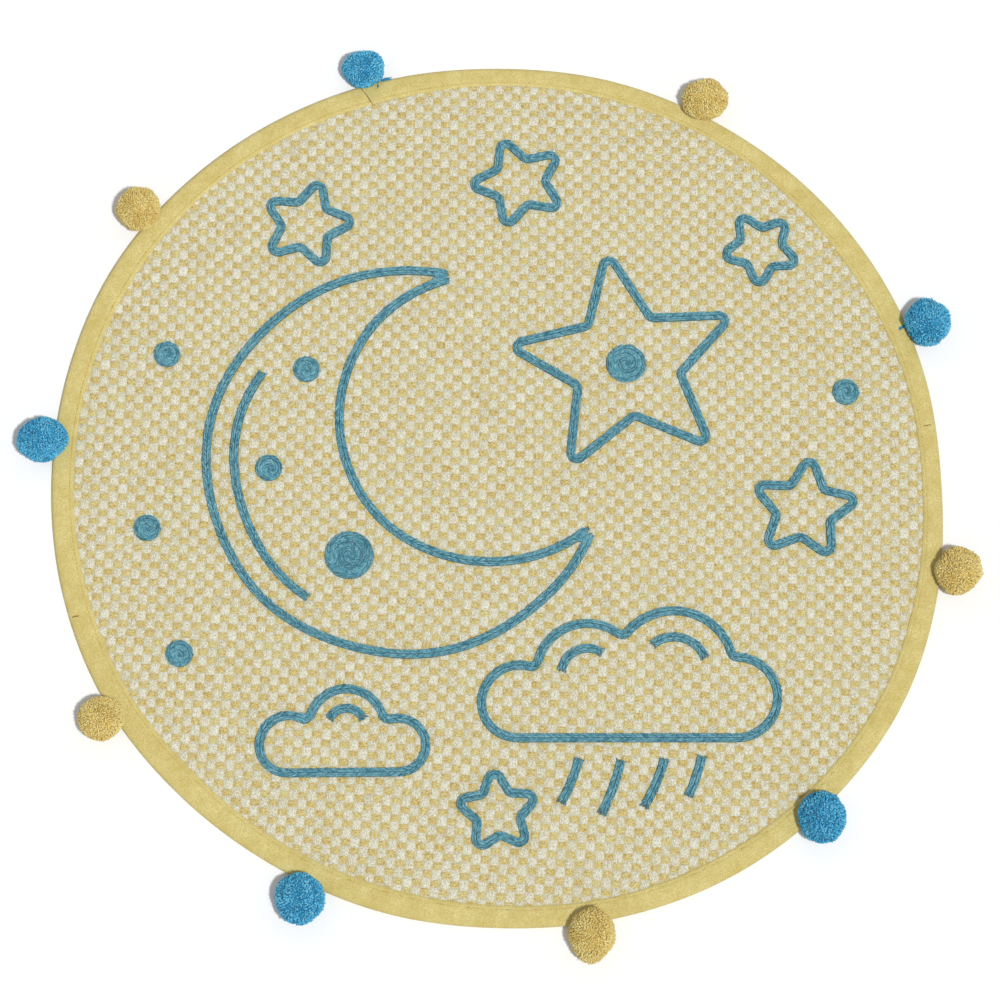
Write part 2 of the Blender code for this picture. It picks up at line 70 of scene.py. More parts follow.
class Bench:
    """Blender's operators used as by hand, with nothing selected but what a step needs."""

    @staticmethod
    def clear() -> None:
        """Leaves edit mode with nothing selected."""
        if bpy.context.mode != "OBJECT":
            bpy.ops.object.mode_set(mode="OBJECT")
        bpy.ops.object.select_all(action="DESELECT")

    @staticmethod
    def take(obj: bpy.types.Object) -> None:
        """Selects one object and makes it active."""
        Bench.clear()
        obj.select_set(True)
        bpy.context.view_layer.objects.active = obj

    @staticmethod
    def edit(obj: bpy.types.Object) -> None:
        """Opens an object in edit mode."""
        Bench.take(obj)
        bpy.ops.object.mode_set(mode="EDIT")

    @staticmethod
    def made(name: str) -> bpy.types.Object:
        """Names the object that an operator has just added."""
        obj = bpy.context.object
        obj.name = name
        obj.data.name = name
        return obj

    @staticmethod
    def choose(obj: bpy.types.Object, test: Callable[[Vector], bool]) -> None:
        """Selects the vertices whose place passes a test, in edit mode.

        Args:
            obj: the object that is open in edit mode.
            test: says whether a place belongs to the choice.
        """
        bpy.ops.mesh.select_mode(type="VERT")
        bpy.ops.mesh.select_all(action="DESELECT")
        shape = bmesh.from_edit_mesh(obj.data)
        for vert in shape.verts:
            vert.select = test(vert.co)
        shape.select_flush_mode()
        bmesh.update_edit_mesh(obj.data)

    @staticmethod
    def choose_rim(obj: bpy.types.Object) -> None:
        """Selects an open mesh's outline, in edit mode."""
        bpy.ops.mesh.select_mode(type="EDGE")
        bpy.ops.mesh.select_all(action="DESELECT")
        shape = bmesh.from_edit_mesh(obj.data)
        for edge in shape.edges:
            edge.select = edge.is_boundary
        bmesh.update_edit_mesh(obj.data)

    @staticmethod
    def face_out() -> None:
        """Turns all faces outwards, in edit mode."""
        bpy.ops.mesh.select_all(action="SELECT")
        bpy.ops.mesh.normals_make_consistent(inside=False)

    @staticmethod
    def strand(
        name: str, rings: int, half: tuple[float, float, float], far: float, dive: float
    ) -> bpy.types.Object:
        """A short strand along X, which dives at both ends, as a template.

        Args:
            name: its name.
            rings: how many rows its round skin has.
            half: half its length, width and height.
            far: how far from its middle it dives.
            dive: how deep it dives.

        Returns:
            The template.
        """
        Bench.clear()
        bpy.ops.mesh.primitive_uv_sphere_add(segments=4, ring_count=rings, radius=1)
        obj = Bench.made(name)
        Bench.edit(obj)
        bpy.ops.mesh.select_all(action="SELECT")
        bpy.ops.transform.rotate(value=math.pi / 2, orient_axis="Y", center_override=(0, 0, 0))
        bpy.ops.transform.resize(value=half, center_override=(0, 0, 0))
        Bench.choose(obj, lambda co: abs(co.x) > far)
        bpy.ops.transform.translate(value=(0, 0, -dive))
        Bench.smooth(obj, 180)
        return obj

    @staticmethod
    def drawn(name: str, points: Iterable, closed: bool = False, **settings: object) -> bpy.types.Object:
        """Draws a curve straight from point to point.

        Args:
            name: its name.
            points: rows of x, y and z.
            closed: whether its end meets its start.
            settings: the curve's own options.

        Returns:
            The curve.
        """
        curve = bpy.data.curves.new(name, "CURVE")
        for key, value in settings.items():
            setattr(curve, key, value)
        rows = [(*point, 1) for point in points]
        spline = curve.splines.new("POLY")
        spline.points.add(len(rows) - 1)
        for point, row in zip(spline.points, rows):
            point.co = row
        spline.use_cyclic_u = closed
        obj = bpy.data.objects.new(name, curve)
        bpy.context.scene.collection.objects.link(obj)
        return obj

    @staticmethod
    def smooth(obj: bpy.types.Object, angle_deg: float) -> None:
        """Shades an object smooth, apart from edges sharper than an angle."""
        Bench.take(obj)
        bpy.ops.object.shade_smooth_by_angle(angle=math.radians(angle_deg))

    @staticmethod
    def join(name: str, parts: list[bpy.types.Object]) -> bpy.types.Object:
        """Joins meshes to one piece.

        Args:
            name: the piece's name.
            parts: the meshes, the first of which keeps its place in the list of objects.

        Returns:
            The joined piece.
        """
        Bench.clear()
        for part in parts:
            part.select_set(True)
        bpy.context.view_layer.objects.active = parts[0]
        if len(parts) > 1:
            bpy.ops.object.join()
        return Bench.made(name)

    @staticmethod
    def discard(obj: bpy.types.Object) -> None:
        """Removes a template once its copies are made."""
        bpy.data.objects.remove(obj)


def places_of(obj: bpy.types.Object) -> np.ndarray:
    """The places of a mesh's vertices, one row each."""
    flat = np.empty(len(obj.data.vertices) * 3, dtype=np.float32)
    obj.data.vertices.foreach_get("co", flat)
    return flat.reshape(-1, 3).astype(float)


def put(obj: bpy.types.Object, places: np.ndarray) -> None:
    """Moves a mesh's vertices to new places."""
    obj.data.vertices.foreach_set("co", places.astype(np.float32).ravel())
    obj.data.update()


def mark(obj: bpy.types.Object, name: str, values: np.ndarray) -> None:
    """Gives a mesh's vertices a number each, for its finish to read."""
    layer = obj.data.attributes.get(name) or obj.data.attributes.new(name, "FLOAT", "POINT")
    layer.data.foreach_set("value", np.broadcast_to(values, len(obj.data.vertices)).astype(np.float32))


def finished(
    obj: bpy.types.Object, finish: bpy.types.Material, nodes: Iterable[str] = ()
) -> bpy.types.Object:
    """Gives a piece its finish, and says what it is to the frame.

    Args:
        obj: the piece.
        finish: its material.
        nodes: the solids that it stands for.

    Returns:
        The piece.
    """
    Bench.clear()
    obj.data.materials.clear()
    obj.data.materials.append(finish)
    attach(obj, BODY)
    if nodes:
        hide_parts(*nodes)
    triangles = sum(len(face.vertices) - 2 for face in obj.data.polygons)
    LOG.info("%s: %d triangles, %s", obj.name, triangles, finish.name)
    return obj


# The rug's measures


@dataclass(frozen=True)
class Rim:
    """The bound edge as it lies, and the tape that shows, at even steps round the rug from +X towards +Y."""

    radius_mm: tuple[float, ...] = (
        443.0, 444.9, 446.3, 446.7, 446.8, 447.9, 446.6, 449.6, 452.2, 454.6, 456.4, 452.8,
        449.8, 449.4, 448.9, 445.4, 444.2, 446.0, 446.4, 451.4, 455.8, 456.9, 456.4, 449.9,
    )
    tape_mm: tuple[float, ...] = (
        19.3, 20.6, 23.5, 22.0, 19.7, 21.0, 19.6, 23.0, 21.9, 22.3, 24.4, 22.3,
        22.1, 23.9, 24.8, 25.2, 23.1, 24.0, 21.6, 20.7, 22.3, 22.0, 22.3, 21.3,
    )
    mean_radius: float = 450 * MM
    mean_tape: float = 22 * MM

    def _smooth(self, column: tuple[float, ...], bearing: np.ndarray) -> np.ndarray:
        """A column's value at each bearing, on a smooth curve through its stations."""
        rows = np.array(column) * MM
        place = np.degrees(bearing) % 360 * len(rows) / 360
        index = np.floor(place).astype(int)
        t = place - index
        a, b, c, d = (rows[(index + step) % len(rows)] for step in (-1, 0, 1, 2))
        return b + 0.5 * t * (c - a + t * (2 * a - 5 * b + 4 * c - d + t * (3 * (b - c) + d - a)))

    def at(self, bearing: np.ndarray) -> tuple[np.ndarray, np.ndarray]:
        """The rim's radius and the tape's width at bearings in radians."""
        return self._smooth(self.radius_mm, bearing), self._smooth(self.tape_mm, bearing)

    def lay(self, places: np.ndarray) -> np.ndarray:
        """The places on the rug as it lies of places on an even round rug.

        Args:
            places: rows of x, y and z.

        Returns:
            The rows, moved outwards or inwards.
        """
        even = np.hypot(places[:, 0], places[:, 1])
        radius, tape = self.at(np.arctan2(places[:, 1], places[:, 0]))
        inner = self.mean_radius - self.mean_tape
        bound = radius - (self.mean_radius - even) * tape / self.mean_tape
        laid = np.where(even > inner, bound, even * (radius - tape) / inner)
        share = laid / np.maximum(even, MM * MM)
        return np.column_stack([places[:, 0] * share, places[:, 1] * share, places[:, 2]])

    def tape_edge(self, x: np.ndarray, y: np.ndarray) -> np.ndarray:
        """How far places lie inside the tape's inner edge."""
        radius, tape = self.at(np.arctan2(y, x))
        return radius - tape - np.hypot(x, y)


@dataclass(frozen=True)
class Weave:
    """The lattice of checks: a cream warp float and a mustard weft float by turns, a little aslant."""

    across: float = 9.19 * MM
    along: float = 8.63 * MM
    row_fall_deg: float = 2.8  # a row falls this much towards the right
    column_lean_deg: float = 1.3  # a column leans this much to the right at its top
    drift: float = 1.1 * MM  # how far the rows and columns wave
    bow: float = 0.1  # how strongly the columns curve to the left below the rug's middle
    reach: int = 60
    under_tape: float = 5.0 * MM

    def steps(self) -> tuple[Vector, Vector]:
        """The way from one check to the next to its right, and to the next above it."""
        fall, lean = math.radians(self.row_fall_deg), math.radians(self.column_lean_deg)
        return (
            Vector((self.across, -self.across * math.tan(fall))),
            Vector((self.along * math.tan(lean), self.along)),
        )

    def checks(self, rim: Rim, odd: int) -> np.ndarray:
        """The middles of every second check inside the bound edge.

        Args:
            rim: the rug's edge.
            odd: 0 for the warp floats or 1 for the weft floats.

        Returns:
            Rows of x and y.
        """
        right, up = self.steps()
        i, j = np.meshgrid(np.arange(-self.reach, self.reach + 1), np.arange(-self.reach, self.reach + 1))
        keep = (i + j) % 2 == odd
        i, j = i[keep], j[keep]
        x = i * right.x + j * up.x
        y = i * right.y + j * up.y
        wave_x = self.drift * np.sin(9 * y + 2 * x + 0.4) + 0.5 * self.drift * np.sin(23 * y - 7 * x + 2.0)
        wave_y = self.drift * np.sin(8 * x - 3 * y + 1.9) + 0.5 * self.drift * np.sin(21 * x + 6 * y + 0.9)
        x, y = x + wave_x - self.bow * np.minimum(y, 0) ** 2, y + wave_y
        inside = rim.tape_edge(x, y) > -self.under_tape
        return np.column_stack([x[inside], y[inside]])


# The drawing in braid


@dataclass(frozen=True)
class Route:
    """A line on the field that braid follows."""

    points: tuple[tuple[float, float], ...]
    closed: bool

    def spaced(self, pitch: float, ends: float = 0.0) -> tuple[np.ndarray, np.ndarray]:
        """Places at even steps along the line.

        Args:
            pitch: the step that is wanted.
            ends: the length left free at each end of an open line.

        Returns:
            Rows of x and y, and the heading at each in radians.
        """
        points = np.array(self.points)
        if self.closed:
            points = np.vstack([points, points[:1]])
        along = np.concatenate([[0], np.cumsum(np.hypot(*np.diff(points, axis=0).T))])
        total = along[-1] - 2 * ends
        count = max(2, round(total / pitch))
        where = ends + (np.arange(count) + 0.5) * total / count

        def at(distance: np.ndarray) -> np.ndarray:
            distance = distance % along[-1] if self.closed else np.clip(distance, 0, along[-1])
            return np.column_stack([np.interp(distance, along, points[:, axis]) for axis in (0, 1)])

        ahead = at(where + 1.0 * MM) - at(where - 1.0 * MM)
        return at(where), np.arctan2(ahead[:, 1], ahead[:, 0])


class Drawing:
    """The design: a crescent moon, stars, clouds with rain, and wound dots, in millimetres from the middle."""

    TURN = 6.2 * MM  # the braid's tightest turn
    SHARP_DEG = 34  # a bend over this is rounded
    ARC_DEG = 9  # the bend of one straight piece of a rounded turn
    SAG = 0.12 * MM  # how far a straight piece leaves its curve
    WANDER = 1.2 * MM  # how far a line laid by hand drifts
    STROKE_BOW = 0.05
    BRAID_WIDTH = 10 * MM

    # name, x, y, reach of its points, reach of its valleys, turn in degrees
    STARS = (
        ("large", 128, 122, 122, 55, 8),
        ("upper_left", -198, 272, 52, 25, -14),
        ("top", 20, 318, 54, 26, 20),
        ("right", 304, -30, 58, 28, -8),
        ("upper_right", 268, 246, 44, 22, 30),
        ("bottom", -2, -334, 45, 22, 5),
    )
    MOON_OUTER = (-95, 22, 200)
    MOON_HOLLOW = (-10, 67, 152)
    # name, height of its base, and its puffs as x, height above the base and radius, from the right end
    CLOUDS = (
        ("large", -262, ((232, 40, 40), (172, 70, 58), (88, 62, 52), (18, 36, 36))),
        ("small", -296, ((-98, 27, 27), (-150, 44, 38), (-208, 28, 28))),
    )
    # name, x, y, radius
    COILS = (
        ("moon_low", -150, -78, 25),
        ("moon_left", -232, 12, 14),
        ("moon_high", -196, 116, 14),
        ("left_high", -338, 132, 14),
        ("left", -352, -50, 14),
        ("left_low", -316, -178, 14),
        ("right_high", 350, 92, 14),
        ("star", 128, 122, 20),
    )
    # name, x, y, length, lean in degrees
    STROKES = (
        ("rain_1", 68, -304, 44, 68),
        ("rain_2", 108, -311, 54, 71),
        ("rain_3", 150, -307, 50, 67),
        ("rain_4", 190, -300, 40, 70),
    )
    # name, x, y, radius, first and last bearing in degrees
    BOWS = (
        ("moon", -95, 22, 172, 148, 236),
        ("cloud_right", 172, -192, 32, 20, 128),
        ("cloud_left", 88, -200, 27, 60, 170),
        ("cloud_small", -150, -252, 19, 30, 150),
    )

    def routes(self) -> dict[str, Route]:
        """Every line of the design but the wound dots, by the name of its solid."""
        found = {"braid_moon": self._laid(self._moon(), True)}
        for name, *row in self.STARS:
            found[f"braid_star_{name}"] = self._laid(self._star(*row), True)
        for name, *row in self.CLOUDS:
            found[f"braid_cloud_{name}"] = self._laid(self._cloud(*row), True)
        for name, *row in self.STROKES:
            found[f"braid_{name}"] = self._laid(self._stroke(*row), False)
        for name, x, y, radius, start, end in self.BOWS:
            path = self._arc(Vector((x, y)) * MM, radius * MM, math.radians(start), math.radians(end))
            found[f"braid_bow_{name}"] = self._laid(path, False)
        return found

    def coils(self) -> dict[str, tuple[Vector, float]]:
        """The middle and radius of every wound dot, by the name of its solid."""
        return {f"braid_coil_{name}": (Vector((x, y)) * MM, radius * MM) for name, x, y, radius in self.COILS}

    def _laid(self, path: list[Vector], closed: bool) -> Route:
        """A path with the drift of a hand."""
        laid = []
        for x, y in path:
            drift_x = self.WANDER * math.sin(31 * y + 4 * x + 0.7) * math.cos(17 * x + 1.1)
            drift_y = self.WANDER * math.sin(29 * x - 5 * y + 2.3) * math.cos(19 * y + 0.4)
            laid.append((x + drift_x, y + drift_y))
        return Route(tuple(laid), closed)

    def _arc(self, centre: Vector, radius: float, start: float, end: float) -> list[Vector]:
        """Points on an arc, both ends among them, from one angle to another in radians."""
        reach = 2 * math.acos(1 - self.SAG / radius)
        steps = max(2, math.ceil(abs(end - start) / reach))
        angles = (start + (end - start) * step / steps for step in range(steps + 1))
        return [centre + radius * Vector((math.cos(angle), math.sin(angle))) for angle in angles]

    @staticmethod
    def _crossing(centre: Vector, radius: float, other: Vector, other_radius: float, left: bool) -> Vector:
        """Where two circles cross, to the left or the right of the way from the first to the second."""
        way = other - centre
        along = (radius**2 - other_radius**2 + way.length**2) / (2 * way.length)
        aside = math.sqrt(radius**2 - along**2) * (1 if left else -1)
        way.normalize()
        return centre + along * way + aside * Vector((-way.y, way.x))

    @staticmethod
    def _angle_to(centre: Vector, point: Vector, after: float | None = None) -> float:
        """The angle from a centre to a point, taken past another angle where one is given."""
        angle = math.atan2(point.y - centre.y, point.x - centre.x)
        return angle if after is None else after + (angle - after) % math.tau

    def _rounded(self, points: list[Vector]) -> list[Vector]:
        """A closed path with each sharp corner turned on the braid's tightest arc."""
        made = []
        for index, corner in enumerate(points):
            to_before = (points[index - 1] - corner).normalized()
            to_after = (points[(index + 1) % len(points)] - corner).normalized()
            turn = math.pi - to_before.angle(to_after)
            if turn < math.radians(self.SHARP_DEG):
                made.append(corner)
                continue
            middle_way = (to_before + to_after).normalized()
            centre = corner + middle_way * self.TURN / math.cos(turn / 2)
            side = 1 if to_before.x * to_after.y - to_before.y * to_after.x < 0 else -1
            steps = max(2, math.ceil(math.degrees(turn) / self.ARC_DEG))
            for step in range(steps + 1):
                angle = side * (step / steps - 0.5) * turn
                made.append(centre + self.TURN * (Matrix.Rotation(angle, 2) @ -middle_way))
        return made

    def _star(self, x: float, y: float, point: float, valley: float, turn: float) -> list[Vector]:
        """Five points and five valleys."""
        centre = Vector((x, y)) * MM
        path = []
        for index in range(10):
            reach = (valley if index % 2 else point) * MM
            angle = math.radians(90 + turn + 36 * index)
            path.append(centre + reach * Vector((math.cos(angle), math.sin(angle))))
        return self._rounded(path)

    def _moon(self) -> list[Vector]:
        """The long way round the outer circle, and back inside along the hollow's."""
        outer, radius = Vector(self.MOON_OUTER[:2]) * MM, self.MOON_OUTER[2] * MM
        hollow, hollow_radius = Vector(self.MOON_HOLLOW[:2]) * MM, self.MOON_HOLLOW[2] * MM
        upper = self._crossing(outer, radius, hollow, hollow_radius, True)
        lower = self._crossing(outer, radius, hollow, hollow_radius, False)
        start = self._angle_to(outer, upper)
        back = self._arc(outer, radius, start, self._angle_to(outer, lower, start))
        start = self._angle_to(hollow, upper)
        front = self._arc(hollow, hollow_radius, start, self._angle_to(hollow, lower, start))
        return self._rounded(back[:-1] + front[:0:-1])

    def _cloud(self, base_mm: float, puffs: tuple[tuple[float, float, float], ...]) -> list[Vector]:
        """A flat base, then the puffs from the right end back to the left."""
        base = base_mm * MM
        circles = [(Vector((x * MM, base + above * MM)), radius * MM) for x, above, radius in puffs]
        path = []
        start = -math.pi / 2
        for (centre, radius), (following, following_radius) in zip(circles, circles[1:]):
            meet = self._crossing(centre, radius, following, following_radius, False)
            path += self._arc(centre, radius, start, self._angle_to(centre, meet, start))[:-1]
            start = self._angle_to(following, meet)
        centre, radius = circles[-1]
        path += self._arc(centre, radius, start, self._angle_to(centre, Vector((centre.x, base)), start))
        return self._rounded(path)

    def _stroke(self, x: float, y: float, length: float, lean: float) -> list[Vector]:
        """A short line, a little bowed."""
        middle = Vector((x, y)) * MM
        way = math.radians(lean)
        half = Vector((math.cos(way), math.sin(way))) * length * MM / 2
        bow = Vector((half.y, -half.x)) * self.STROKE_BOW
        return [middle + half * t + bow * (1 - t * t) for t in (-1, -0.6, -0.2, 0.2, 0.6, 1)]


# Copies of a template


class Sower:
    """Lays a copy of one template at each of many places, as one joined mesh, with Geometry Nodes."""

    def __init__(self) -> None:
        """Builds the node tree that the copies are laid with."""
        self.tree = bpy.data.node_groups.new("lay_copies", "GeometryNodeTree")
        face = self.tree.interface
        face.new_socket("Geometry", in_out="INPUT", socket_type="NodeSocketGeometry")
        chosen = face.new_socket("Template", in_out="INPUT", socket_type="NodeSocketObject")
        self.template_socket = chosen.identifier
        face.new_socket("Geometry", in_out="OUTPUT", socket_type="NodeSocketGeometry")
        given = node(self.tree, "NodeGroupInput")
        template = node(self.tree, "GeometryNodeObjectInfo", {"Object": given.outputs["Template"]})
        turn = node(self.tree, "GeometryNodeInputNamedAttribute", {"Name": "turn"}, data_type="FLOAT_VECTOR")
        size = node(self.tree, "GeometryNodeInputNamedAttribute", {"Name": "size"}, data_type="FLOAT_VECTOR")
        laid = node(
            self.tree,
            "GeometryNodeInstanceOnPoints",
            {
                "Points": given.outputs["Geometry"],
                "Instance": template.outputs["Geometry"],
                "Rotation": turn.outputs["Attribute"],
                "Scale": size.outputs["Attribute"],
            },
        )
        real = node(self.tree, "GeometryNodeRealizeInstances", {"Geometry": laid.outputs["Instances"]})
        node(self.tree, "NodeGroupOutput", {"Geometry": real.outputs["Geometry"]})

    def lay(
        self,
        name: str,
        template: bpy.types.Object,
        places: np.ndarray,
        turns: np.ndarray,
        sizes: np.ndarray,
        shades: np.ndarray,
    ) -> bpy.types.Object:
        """Lays the copies.

        Args:
            name: the name of the joined mesh.
            template: what is copied, modelled about the origin.
            places: rows of x, y and z.
            turns: rows of Euler angles in radians.
            sizes: rows of scale factors.
            shades: from 0, dark, to 1, light, for each copy.

        Returns:
            The joined mesh.
        """
        mesh = bpy.data.meshes.new(name)
        mesh.from_pydata(np.asarray(places).tolist(), [], [])
        for word, rows in (("turn", turns), ("size", sizes)):
            layer = mesh.attributes.new(word, "FLOAT_VECTOR", "POINT")
            spread = np.broadcast_to(rows, (len(places), 3))
            layer.data.foreach_set("vector", spread.astype(np.float32).ravel())
        obj = bpy.data.objects.new(name, mesh)
        mark(obj, "shade", shades)
        bpy.context.scene.collection.objects.link(obj)
        Bench.take(obj)
        step = obj.modifiers.new("copies", "NODES")
        step.node_group = self.tree
        step[self.template_socket] = template
        bpy.ops.object.modifier_apply(modifier=step.name)
        for word in ("turn", "size"):
            layer = obj.data.attributes.get(word)
            if layer:
                obj.data.attributes.remove(layer)
        return obj


# Finishes


def linear(colour: str) -> tuple[float, float, float, float]:
    """Turns an sRGB hex colour to linear, with full alpha."""
    parts = (int(colour[start : start + 2], 16) / 255 for start in (0, 2, 4))
    return *(part / 12.92 if part <= 0.04045 else ((part + 0.055) / 1.055) ** 2.4 for part in parts), 1.0


def node(
    tree: bpy.types.NodeTree, kind: str, feeds: dict | None = None, **settings: object
) -> bpy.types.Node:
    """Adds a node with its settings and links.

    Args:
        tree: the tree that it joins.
        kind: its type.
        feeds: for each input, by name or number, another node's socket or a value.
        settings: the node's own options.

    Returns:
        The node.
    """
    made = tree.nodes.new(kind)
    for key, value in settings.items():
        setattr(made, key, value)
    for key, value in (feeds or {}).items():
        if isinstance(value, bpy.types.NodeSocket):
            tree.links.new(value, made.inputs[key])
        else:
            made.inputs[key].default_value = value
    return made


def blank(
    name: str, roughness: float, sheen: float
) -> tuple[bpy.types.Material, bpy.types.ShaderNodeBsdfPrincipled]:
    """A cotton material with nothing but its shader.

    Args:
        name: its name.
        roughness: the shader's roughness.
        sheen: the weight of the soft shine of its fibre ends.

    Returns:
        The material and its shader.
    """
    material = bpy.data.materials.new(name)
    material.use_nodes = True
    shader = material.node_tree.nodes["Principled BSDF"]
    shader.inputs["Roughness"].default_value = roughness
    shader.inputs["IOR"].default_value = 1.45
    shader.inputs["Specular IOR Level"].default_value = 0.2
    shader.inputs["Sheen Weight"].default_value = sheen
    shader.inputs["Sheen Roughness"].default_value = 0.5
    return material, shader


class ShadeDepth(Enum):
    """Where a yarn's finish reads how deep a place lies, to paint shade darker there."""

    HEIGHT = "height above the floor"
    MARK = "the piece's own depth attribute"


@dataclass(frozen=True)
class Yarn:
    """Spun cotton yarn, dyed in the hank: matt, a little hairy, with shade painted darker where strands shade
    each other.
    """

    name: str
    deep: str
    body: str
    light: str
    depth: ShadeDepth
    # Painted shade: below high the colour darkens, down to the share shaded at low or at the deepest mark.
    low: float = 0.0  # the height that is darkest
    high: float = 0.0  # the height from which it has its full colour
    shaded: float = 0.5  # what is left of the colour at the darkest
    plies: tuple[float, float] = (0.0, 0.0)  # ply ridges across and along the strand's own map
    ply_depth: float = 0.12 * MM
    fleck_mm: tuple[float, float, float] = (0.9, 0.9, 0.9)  # the size of the dye's flecks along x, y and z
    fleck_share: float = 1.1
    hair: float = 0.35 * MM  # the size of its stray hairs
    sheen: float = 0.15

    def build(self) -> bpy.types.Material:
        """Builds the material."""
        material, shader = blank(self.name, 0.9, self.sheen)
        tree = material.node_tree
        place = node(tree, "ShaderNodeTexCoord").outputs["Object"]
        shade = node(tree, "ShaderNodeAttribute", attribute_name="shade").outputs["Fac"]
        per_metre = tuple(1 / (size * MM) for size in self.fleck_mm)
        spread = node(tree, "ShaderNodeVectorMath", {0: place, 1: per_metre}, operation="MULTIPLY").outputs[0]
        speckle = {"Vector": spread, "Scale": 1.0, "Detail": 2.0, "Roughness": 0.6}
        flecks = node(tree, "ShaderNodeTexNoise", speckle).outputs[0]
        span = {0: flecks, 1: 0.3, 2: 0.7, 3: -self.fleck_share / 2, 4: self.fleck_share / 2}
        swing = node(tree, "ShaderNodeMapRange", span).outputs[0]
        tone = node(tree, "ShaderNodeMath", {0: shade, 1: swing}, operation="ADD").outputs[0]
        dyed = linear(self.deep)
        for start, colour in ((0.0, self.body), (0.5, self.light)):
            share = node(tree, "ShaderNodeMapRange", {0: tone, 1: start, 2: start + 0.5}).outputs[0]
            colours = {0: share, 6: dyed, 7: linear(colour)}
            dyed = node(tree, "ShaderNodeMix", colours, data_type="RGBA").outputs[2]
        # Painted shade: the colour is scaled down low on the piece, or where its depth mark says it lies deep.
        if self.depth is ShadeDepth.HEIGHT:
            height = node(tree, "ShaderNodeSeparateXYZ", {0: place}).outputs[2]
            depth = {0: height, 1: self.low, 2: self.high, 3: self.shaded}
        else:
            marked = node(tree, "ShaderNodeAttribute", attribute_name="depth").outputs["Fac"]
            depth = {0: marked, 3: self.shaded}
        lit = node(tree, "ShaderNodeMapRange", depth).outputs[0]
        seen = node(tree, "ShaderNodeVectorMath", {0: dyed, "Scale": lit}, operation="SCALE").outputs[0]
        tree.links.new(seen, shader.inputs["Base Color"])
        fuzz = {"Vector": place, "Scale": 1 / self.hair, "Detail": 2.0, "Roughness": 0.7}
        hairs = node(tree, "ShaderNodeTexNoise", fuzz).outputs[0]
        relief = node(tree, "ShaderNodeBump", {"Height": hairs, "Distance": 0.08 * MM, "Strength": 0.6})
        if any(self.plies):
            unrolled = node(tree, "ShaderNodeUVMap", uv_map="UVMap").outputs[0]
            ways = (self.plies[0] * math.tau, self.plies[1] * math.tau, 0.0)
            phase = node(tree, "ShaderNodeVectorMath", {0: unrolled, 1: ways}, operation="DOT_PRODUCT")
            ridge = node(tree, "ShaderNodeMath", {0: phase.outputs[1]}, operation="SINE").outputs[0]
            ply = {"Height": ridge, "Distance": self.ply_depth, "Strength": 0.8, "Normal": relief.outputs[0]}
            relief = node(tree, "ShaderNodeBump", ply)
        tree.links.new(relief.outputs[0], shader.inputs["Normal"])
        return material


@dataclass(frozen=True)
class GroundCloth:
    """The thin cotton ground between the floats: pale above, and the same checks in reverse below."""

    name: str
    pale: str
    cream: str
    mustard: str
    weave: Weave
    thread: float = 1.0 * MM  # 0.5 mm in the cloth, drawn twice as coarse to show

    def build(self) -> bpy.types.Material:
        """Builds the material."""
        material, shader = blank(self.name, 0.92, 0.1)
        tree = material.node_tree
        place = node(tree, "ShaderNodeTexCoord").outputs["Object"]
        right, up = self.weave.steps()
        spread = right.x * up.y - right.y * up.x
        halves = []
        for row in ((up.y / spread, -up.x / spread, 0.0), (-right.y / spread, right.x / spread, 0.0)):
            count = node(tree, "ShaderNodeVectorMath", {0: place, 1: row}, operation="DOT_PRODUCT").outputs[1]
            turn = node(tree, "ShaderNodeMath", {0: count, 1: math.pi}, operation="MULTIPLY").outputs[0]
            halves.append(node(tree, "ShaderNodeMath", {0: turn}, operation="COSINE").outputs[0])
        checks = node(tree, "ShaderNodeMath", {0: halves[0], 1: halves[1]}, operation="MULTIPLY").outputs[0]
        which = node(tree, "ShaderNodeMapRange", {0: checks, 1: -0.08, 2: 0.08}).outputs[0]
        back = {0: which, 6: linear(self.cream), 7: linear(self.mustard)}
        below = node(tree, "ShaderNodeMix", back, data_type="RGBA").outputs[2]
        height = node(tree, "ShaderNodeSeparateXYZ", {0: place}).outputs[2]
        above = node(tree, "ShaderNodeMapRange", {0: height, 1: 1.6 * MM, 2: 2.0 * MM}).outputs[0]
        front = {0: above, 6: below, 7: linear(self.pale)}
        seen = node(tree, "ShaderNodeMix", front, data_type="RGBA").outputs[2]
        tree.links.new(seen, shader.inputs["Base Color"])
        wave = {"Vector": place, "Scale": 1 / (self.thread * math.tau), "Distortion": 1.5, "Detail": 1.0}
        threads = node(tree, "ShaderNodeTexWave", wave, bands_direction="DIAGONAL").outputs[1]
        relief = node(tree, "ShaderNodeBump", {"Height": threads, "Distance": 0.15 * MM, "Strength": 0.7})
        tree.links.new(relief.outputs[0], shader.inputs["Normal"])
        return material


